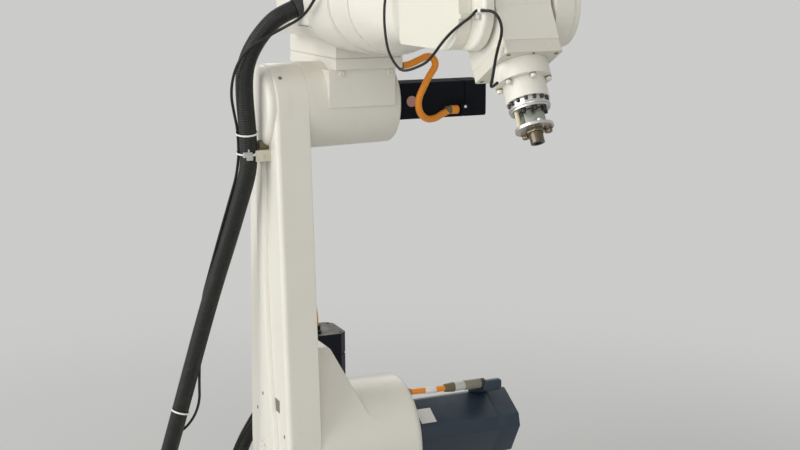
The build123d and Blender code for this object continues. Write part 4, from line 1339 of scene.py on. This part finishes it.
@dataclass
class Cabling:
    """The ribbed conduit and the sensor's cable at the arm's side, the leads of the motors and the ties."""

    conduit: float = 31.5
    rib: float = 3.9
    rib_depth: float = 0.75
    sensor: float = 5.0
    motor_lead: float = 11.0
    lead: float = 12.5
    wrist: float = 4.0
    shoulder_bend: tuple[Point, Point] = ((-60, -250, 420), (178, -173, 990))
    elbow_bend: tuple[Point, Point] = ((180, -173, 1020), (200, -139, 1234))
    hand_bend: tuple[Point, Point] = ((860, -64, 1282), (866, -50, 1224))
    lower: tuple[Point, ...] = (
        (179, -173, 1010), (178, -173, 990), (170, -177, 962), (155, -184, 925), (134, -197, 862), (96, -229, 733),
        (40, -277, 512), (-14, -306, 358), (-82, -326, 212), (-138, -266, 142), (-200, -172, 142), (-243, -98, 212),
        (-240.2, -78, 314), (-226, -44, 380), (-212, -14, 430), (-212, -14, 470),
    )
    upper: tuple[Point, ...] = (
        (179, -173, 1010), (180.6, -173, 1042), (186, -181, 1128), (192, -178, 1170), (197, -163, 1204),
        (200, -139, 1234), (203, -117, 1252), (206, -92, 1262),
    )
    sensor_lower: tuple[Point, ...] = (
        (167, -187.3, 1010), (163.3, -189.4, 978), (151, -197.9, 938), (126.8, -214.4, 862),
        (106.6, -230, 790), (79, -238, 733), (58, -237, 660), (54, -240, 600), (63, -244, 566), (59, -243, 538),
        (50, -248, 510), (37, -260, 483), (2, -274, 455), (-38, -296, 358), (-94, -313, 228), (-138, -266, 164),
        (-200, -172, 164), (-232, -118, 226), (-233, -99, 310), (-214, -64, 385), (-196, -36, 440),
        (-188, -30, 468), (-188, -30, 496),
    )
    sensor_upper: tuple[Point, ...] = (
        (345, -91.8, 1292), (345, -101, 1292), (326, -103, 1277), (293, -101, 1261), (258, -104, 1246),
        (236, -119, 1234), (223, -144, 1219), (218, -168, 1206), (212, -185, 1191), (204, -197, 1170),
        (195.5, -203.5, 1144), (188.5, -204.5, 1115), (178.5, -196.5, 1083), (168, -187.1, 1050),
        (167, -187.3, 1010),
    )
    turret_lead: tuple[Point, ...] = (
        (-78, 40, 615), (-78, 40, 635), (-80, 36, 660), (-86, 24, 684), (-98, 4, 700), (-112, -16, 703),
        (-124, -34, 690), (-131, -44, 664), (-134, -47, 620), (-133, -44, 560), (-131, -40, 500), (-131, -37, 440),
        (-131, -37, 392),
    )
    shoulder_lead: tuple[Point, ...] = ((200, 118, 544), (200, 140, 544), (200, 168, 542), (200, 196, 542))
    elbow_lead: tuple[Point, ...] = (
        (221, 98, 1159), (221, 113, 1159), (222, 134, 1168), (222, 157, 1177), (222, 170, 1159), (222, 156, 1141),
        (222, 144, 1120), (221, 133, 1098), (217, 136, 1075), (210, 153, 1059), (201, 176, 1058), (194, 196, 1067),
        (192, 212, 1072),
    )
    wrist_rear: tuple[Point, ...] = (
        (579, -67.4, 1308), (579, -77, 1308), (577, -83, 1288), (581, -86, 1262), (592, -89, 1238),
        (612, -93, 1215), (636, -94, 1200), (660, -94, 1191), (684, -94, 1193), (712, -94, 1199), (744, -93, 1208),
        (764, -91, 1221), (784, -89, 1237), (806, -86, 1252), (825, -80.5, 1264), (835, -70, 1274),
        (836, -64.3, 1282), (844, -64.3, 1282),
    )
    wrist_front: tuple[Point, ...] = (
        (852, -64.3, 1282), (860, -64.3, 1282), (869, -58, 1282), (877, -53, 1275), (881, -50, 1263),
        (880, -50, 1250), (873, -50, 1238), (866, -50, 1224), (862, -50.5, 1209), (860.5, -52, 1195),
        (857, -53, 1184), (850.5, -46.5, 1182), (848.8, -38.25, 1187.5),
    )

    def build(self) -> None:
        """Makes every cable with what it carries."""
        self.conduits()
        self.sensor_cable()
        self.leads()
        self.wrist_cable()
        self.ties()

    def conduits(self) -> None:
        """The ribbed conduit, below and above its saddle."""
        Hose("conduit_down", "conduit_lower", self.lower, self.conduit, CONDUIT_BLACK, "conduit_black",
             (Body.TURRET, Body.ARM), self.shoulder_bend, self.rib, self.rib_depth, 28).build()
        Hose("conduit_up", "conduit_upper", self.upper, self.conduit, CONDUIT_BLACK, "conduit_black",
             (Body.ARM, Body.ELBOW), self.elbow_bend, self.rib, self.rib_depth, 28).build()

    def sensor_cable(self) -> None:
        """The thin cable that runs along the conduit."""
        Hose("sensor_down", "sensor_cable_lower", self.sensor_lower, self.sensor, CABLE_BLACK, "cable_black",
             (Body.TURRET, Body.ARM), self.shoulder_bend, sides=12, stiffness="medium").build()
        Hose("sensor_up", "sensor_cable_upper", self.sensor_upper, self.sensor, CABLE_BLACK, "cable_black",
             (Body.ARM, Body.ELBOW), self.elbow_bend, sides=12, stiffness="medium").build()

    def leads(self) -> None:
        """The orange leads of the three outer motors, the band on one and the nuts at their ends."""
        Hose("turret_motor_lead", "j1_lead", self.turret_lead, self.motor_lead, ORANGE, "lead_orange",
             (Body.TURRET,), stiffness="medium").build()
        x, y, z = self.shoulder_lead[-1]
        band = Bench.rod("shoulder_lead_band", (x, y - 41, z + 0.7), (x, y - 18, z), 6.1, 28, round_edge=0.3)
        Bench.finish(band, WHITE_PLASTIC, Body.TURRET, "lead_orange")
        Hose("shoulder_motor_lead", "j2_lead", self.shoulder_lead, self.motor_lead, ORANGE, "lead_orange",
             (Body.TURRET,), stiffness="medium", lay="taut", carries=(band,)).build()
        self.shoulder_plug(x, y, z)
        px, py, pz = self.elbow_lead[-1]
        nut = Bench.rod("elbow_lead_nut", (px, py - 10.5, pz - 1.2), (px, py + 0.5, pz), 7.9, 10, round_edge=0.6)
        Bench.finish(nut, OLIVE, Body.ELBOW, "lead_orange")
        Hose("elbow_motor_lead", "j3_lead", self.elbow_lead, self.lead, ORANGE, "lead_orange", (Body.ELBOW,),
             stiffness="medium", carries=(nut,)).build()

    @staticmethod
    def shoulder_plug(x: float, y: float, z: float) -> None:
        """The shoulder motor's connector: sleeve, chalky nut, grey sleeve and end nut, in its node's room."""
        sleeve = Bench.rod("j2_plug_sleeve", (x, y, z), (x, y + 20, z), 7.6, 28, 9.4, 0.7)
        Bench.finish(sleeve, OLIVE, Body.TURRET, "connector_grey")
        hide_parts("j2_plug")
        nut = Bench.rod("j2_plug_nut", (x, y + 19.5, z), (x, y + 42.5, z), 8.4, 14, round_edge=0.5)
        Bench.finish(nut, CHALK, Body.TURRET, "connector_grey")
        barrel = Bench.rod("j2_plug_barrel", (x, y + 42, z), (x, y + 76, z), 9.3, 32)
        with Bench.editing(barrel, lambda face: face.normal.y > 0.9):
            bpy.ops.mesh.inset(thickness=1.0 * MM, depth=0)
            bpy.ops.mesh.extrude_region_move(TRANSFORM_OT_translate={"value": (0, 0.003, 0)})
        Bench.soften(barrel, 0.6)
        Bench.finish(barrel, OLIVE_GREY, Body.TURRET, "connector_grey")
        end = Bench.rod("j2_plug_end", (x, y + 75, z), (x, y + 84.5, z), 9.4, 8, round_edge=0.6)
        Bench.finish(end, DARK_STEEL, Body.TURRET, "connector_grey")

    def wrist_cable(self) -> None:
        """The thin cable of the tool, behind and before the clip on the fork, with the clip and its tab."""
        Hose("wrist_cable_back", "wrist_cable_rear", self.wrist_rear, self.wrist, CABLE_BLACK, "cable_black",
             (Body.FOREARM,), sides=12, spacing=3.0, stiffness="medium").build()
        Hose("wrist_cable_ahead", "wrist_cable_front", self.wrist_front, self.wrist, CABLE_BLACK, "cable_black",
             (Body.FOREARM, Body.HAND), self.hand_bend, sides=12, spacing=2.0, stiffness="medium").build()
        clip = Bench.block("cable_clip_body", (844.3, -67.0, 1279.1), (851.7, -61.0, 1284.9), 1.2)
        Bench.finish(clip, WHITE_PLASTIC, Body.FOREARM, "clip_white")
        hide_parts("cable_clip")
        tab = Bench.block("clip_tab", (793.0, -65.5, 1270.0), (845.0, -60.5, 1276.5), 0.8)
        Bench.finish(tab, CHALK, Body.FOREARM, "clip_white")

    def ties(self) -> None:
        """The ties round the conduit: two at the saddle and one low down that rides on no body."""
        beside = (-12, -14.3, 0)
        Strap("tie_upper", (179.0, -175.5, 1049.5), (6.9, -3.5, 32), beside, 18.8, 16.6, head_at=-20.0,
              head=(3.0, 3.4, 4.0), tail=2.0).build(Body.ARM)
        Strap("tie_saddle", (177.3, -175.1, 1014.5), (4, -1, 32), beside, 18.9, 16.7, WHITE_PLASTIC, 3.0, 1.1,
              150.0, (3.0, 4.0, 4.0), -2.0).build(Body.ARM)
        buckle = [Bench.block("buckle", (191.5, -187.5, 1008), (197.5, -171, 1017.5), 1.6),
                  Bench.block("buckle", (192.5, -181.5, 1003), (198.2, -170, 1012), 1.4),
                  Bench.block("buckle", (190.5, -178.5, 1015), (195.5, -175.5, 1022.5), 1.0)]
        Bench.finish(Bench.join("tie_buckle", buckle), CLEAR, Body.ARM, "clip_white")
        low = Strap("tie_lower", (41.0, -276.2, 514.0), (6, 60, 203), (1, -0.25, 0), 17.2, 16.3, head_at=135.0,
                    tail=5.0)
        low.build(None, (Body.TURRET, Body.ARM, *self.shoulder_bend))


@dataclass(frozen=True)
class Camera:
    """The camera at the photograph's place, taken as 800 by 450 pixels."""

    place: Point = (2.4448, -0.8816, 1.3572)
    heading: float = 23.74
    pitch: float = 11.32
    roll: float = -0.26
    lens: float = 61.47

    def build(self) -> None:
        """Makes the camera and sets it as the scene's own."""
        turn, tilt, lean = (math.radians(a) for a in (self.heading, self.pitch, self.roll))
        level = Vector((-math.cos(turn), math.sin(turn), 0.0))
        right = Vector((math.sin(turn), math.cos(turn), 0.0))
        ahead = math.cos(tilt) * level - math.sin(tilt) * Vector((0, 0, 1))
        up = math.cos(tilt) * Vector((0, 0, 1)) + math.sin(tilt) * level
        across = math.cos(lean) * right + math.sin(lean) * up
        above = math.cos(lean) * up - math.sin(lean) * right
        data = bpy.data.cameras.new("camera")
        data.lens = self.lens
        data.sensor_width = 36.0
        data.dof.use_dof = False
        camera = bpy.data.objects.new("camera", data)
        bpy.context.collection.objects.link(camera)
        camera.matrix_world = Matrix.Translation(self.place) @ Matrix((across, above, -ahead)).transposed().to_4x4()
        bpy.context.scene.camera = camera


@dataclass(frozen=True)
class Studio:
    """The pale floor that fades into the pale backdrop, and the soft lamps."""

    floor: Colour = (0.62, 0.62, 0.61)
    backdrop: Colour = (0.60, 0.60, 0.59)
    ambient: float = 0.42
    half: float = 30.0
    fade: tuple[float, float] = (0.9, 2.8)

    def build(self) -> None:
        """Makes the floor, the world and three area lamps."""
        self.ground()
        self.world()
        self.lamp("key", (0.5, -4.0, 2.6), (0.2, 0.0, 0.9), 4.2, 150.0)
        self.lamp("fill", (3.4, -1.2, 1.9), (0.3, 0.0, 0.9), 2.2, 24.0)
        self.lamp("back", (-3.2, 1.8, 3.2), (0.2, 0.0, 0.9), 2.4, 42.0)

    def ground(self) -> None:
        """The floor: real near the arm, where it takes the shadow, and the backdrop's colour further off."""
        Bench.clear()
        bpy.ops.mesh.primitive_plane_add(size=2 * self.half)
        floor = bpy.context.object
        floor.name = "floor"
        graph = Graph(bpy.data.materials.new("pale floor"))
        far = graph.add("ShaderNodeVectorMath", {"operation": "LENGTH"}, {0: graph.place()}, "Value")
        share = far.over(*self.fade) * graph.seen()
        near = graph.add("ShaderNodeBsdfDiffuse", {}, {"Color": self.floor})
        glow = graph.add("ShaderNodeEmission", {}, {"Color": self.backdrop, "Strength": 1.0})
        mixed = graph.add("ShaderNodeMixShader", {}, {0: share, 1: near, 2: glow})
        graph.add("ShaderNodeOutputMaterial", {}, {"Surface": mixed})
        floor.data.materials.append(graph.owner)

    def world(self) -> None:
        """Even light from all round, and the pale backdrop where the camera looks past the floor."""
        world = bpy.data.worlds.new("studio")
        graph = Graph(world)
        light = graph.add("ShaderNodeBackground", {}, {"Color": (1.0, 0.99, 0.97), "Strength": self.ambient})
        pale = graph.add("ShaderNodeBackground", {}, {"Color": self.backdrop, "Strength": 1.0})
        mixed = graph.add("ShaderNodeMixShader", {}, {0: graph.seen(), 1: light, 2: pale})
        graph.add("ShaderNodeOutputWorld", {}, {"Surface": mixed})
        bpy.context.scene.world = world

    @staticmethod
    def lamp(name: str, place: Point, target: Point, size: float, power: float) -> None:
        """Adds one square area lamp that points at a target."""
        data = bpy.data.lights.new(name, "AREA")
        data.size = size
        data.energy = power
        lamp = bpy.data.objects.new(name, data)
        bpy.context.collection.objects.link(lamp)
        lamp.location = place
        lamp.rotation_euler = (Vector(target) - Vector(place)).to_track_quat("-Z", "Y").to_euler()


@dataclass(frozen=True)
class Robot:
    """The whole arm: the finish of each CAD node, and the details and cables on them."""

    by_slot: tuple[tuple[str, Finish], ...] = (
        ("cast_paint", WHITE), ("arm_paint", WHITE), ("motor_black", BLACK_MOTOR),
        ("box_grey", GREY_BOX), ("conduit_black", CONDUIT_BLACK), ("cable_black", CABLE_BLACK),
        ("lead_orange", ORANGE), ("gland_black", GLAND_BLACK), ("beige_plastic", BEIGE),
        ("connector_grey", OLIVE_GREY), ("clip_white", WHITE_PLASTIC), ("tool_steel", STEEL),
    )
    own: tuple[tuple[str, Finish], ...] = (
        ("j1_motor", DUSTY_MOTOR), ("j2_motor_flange", SLATE_MOTOR), ("j3_motor", PLAIN_MOTOR),
        ("forearm_side_cover", PALE), ("hand_plate", CREAM_PAINTED_SHADE), ("tool_flange", BRIGHT_STEEL),
        ("tool_disc", BRIGHT_STEEL), ("tool_body", GREEN_STEEL), ("tool_plate", BRIGHT_STEEL),
        ("tool_nozzle", BRONZE),
    )

    def paint(self, frame: dict) -> None:
        """Gives each CAD node its own finish.

        Args:
            frame: The loaded frame.
        """
        slots = {entry["node"]: entry["material_slot"] for entry in frame["record"]["subparts"]}
        looks = {name: dict(self.by_slot)[slots[name]] for name in frame["nodes"]}
        looks.update(dict(self.own))
        for name, look in looks.items():
            node = frame["nodes"][name]
            node.data.materials.clear()
            node.data.materials.append(Bench.dress(look))

    def build(self) -> None:
        """Makes the details of each body and the cables."""
        for group in (BaseDetails(), ShoulderDetails(), ArmDetails(), ElbowDetails(), ForearmDetails(),
                      ToolDetails(), Cabling()):
            group.build()
            LOG.info("built %s", type(group).__name__)


def main() -> None:
    """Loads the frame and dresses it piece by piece."""
    logging.basicConfig(level=logging.INFO, format="%(message)s")
    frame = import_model()
    bpy.context.scene.view_settings.view_transform = "Standard"
    Camera().build()
    Studio().build()
    robot = Robot()
    robot.paint(frame)
    robot.build()


if __name__ == "__main__":
    main()
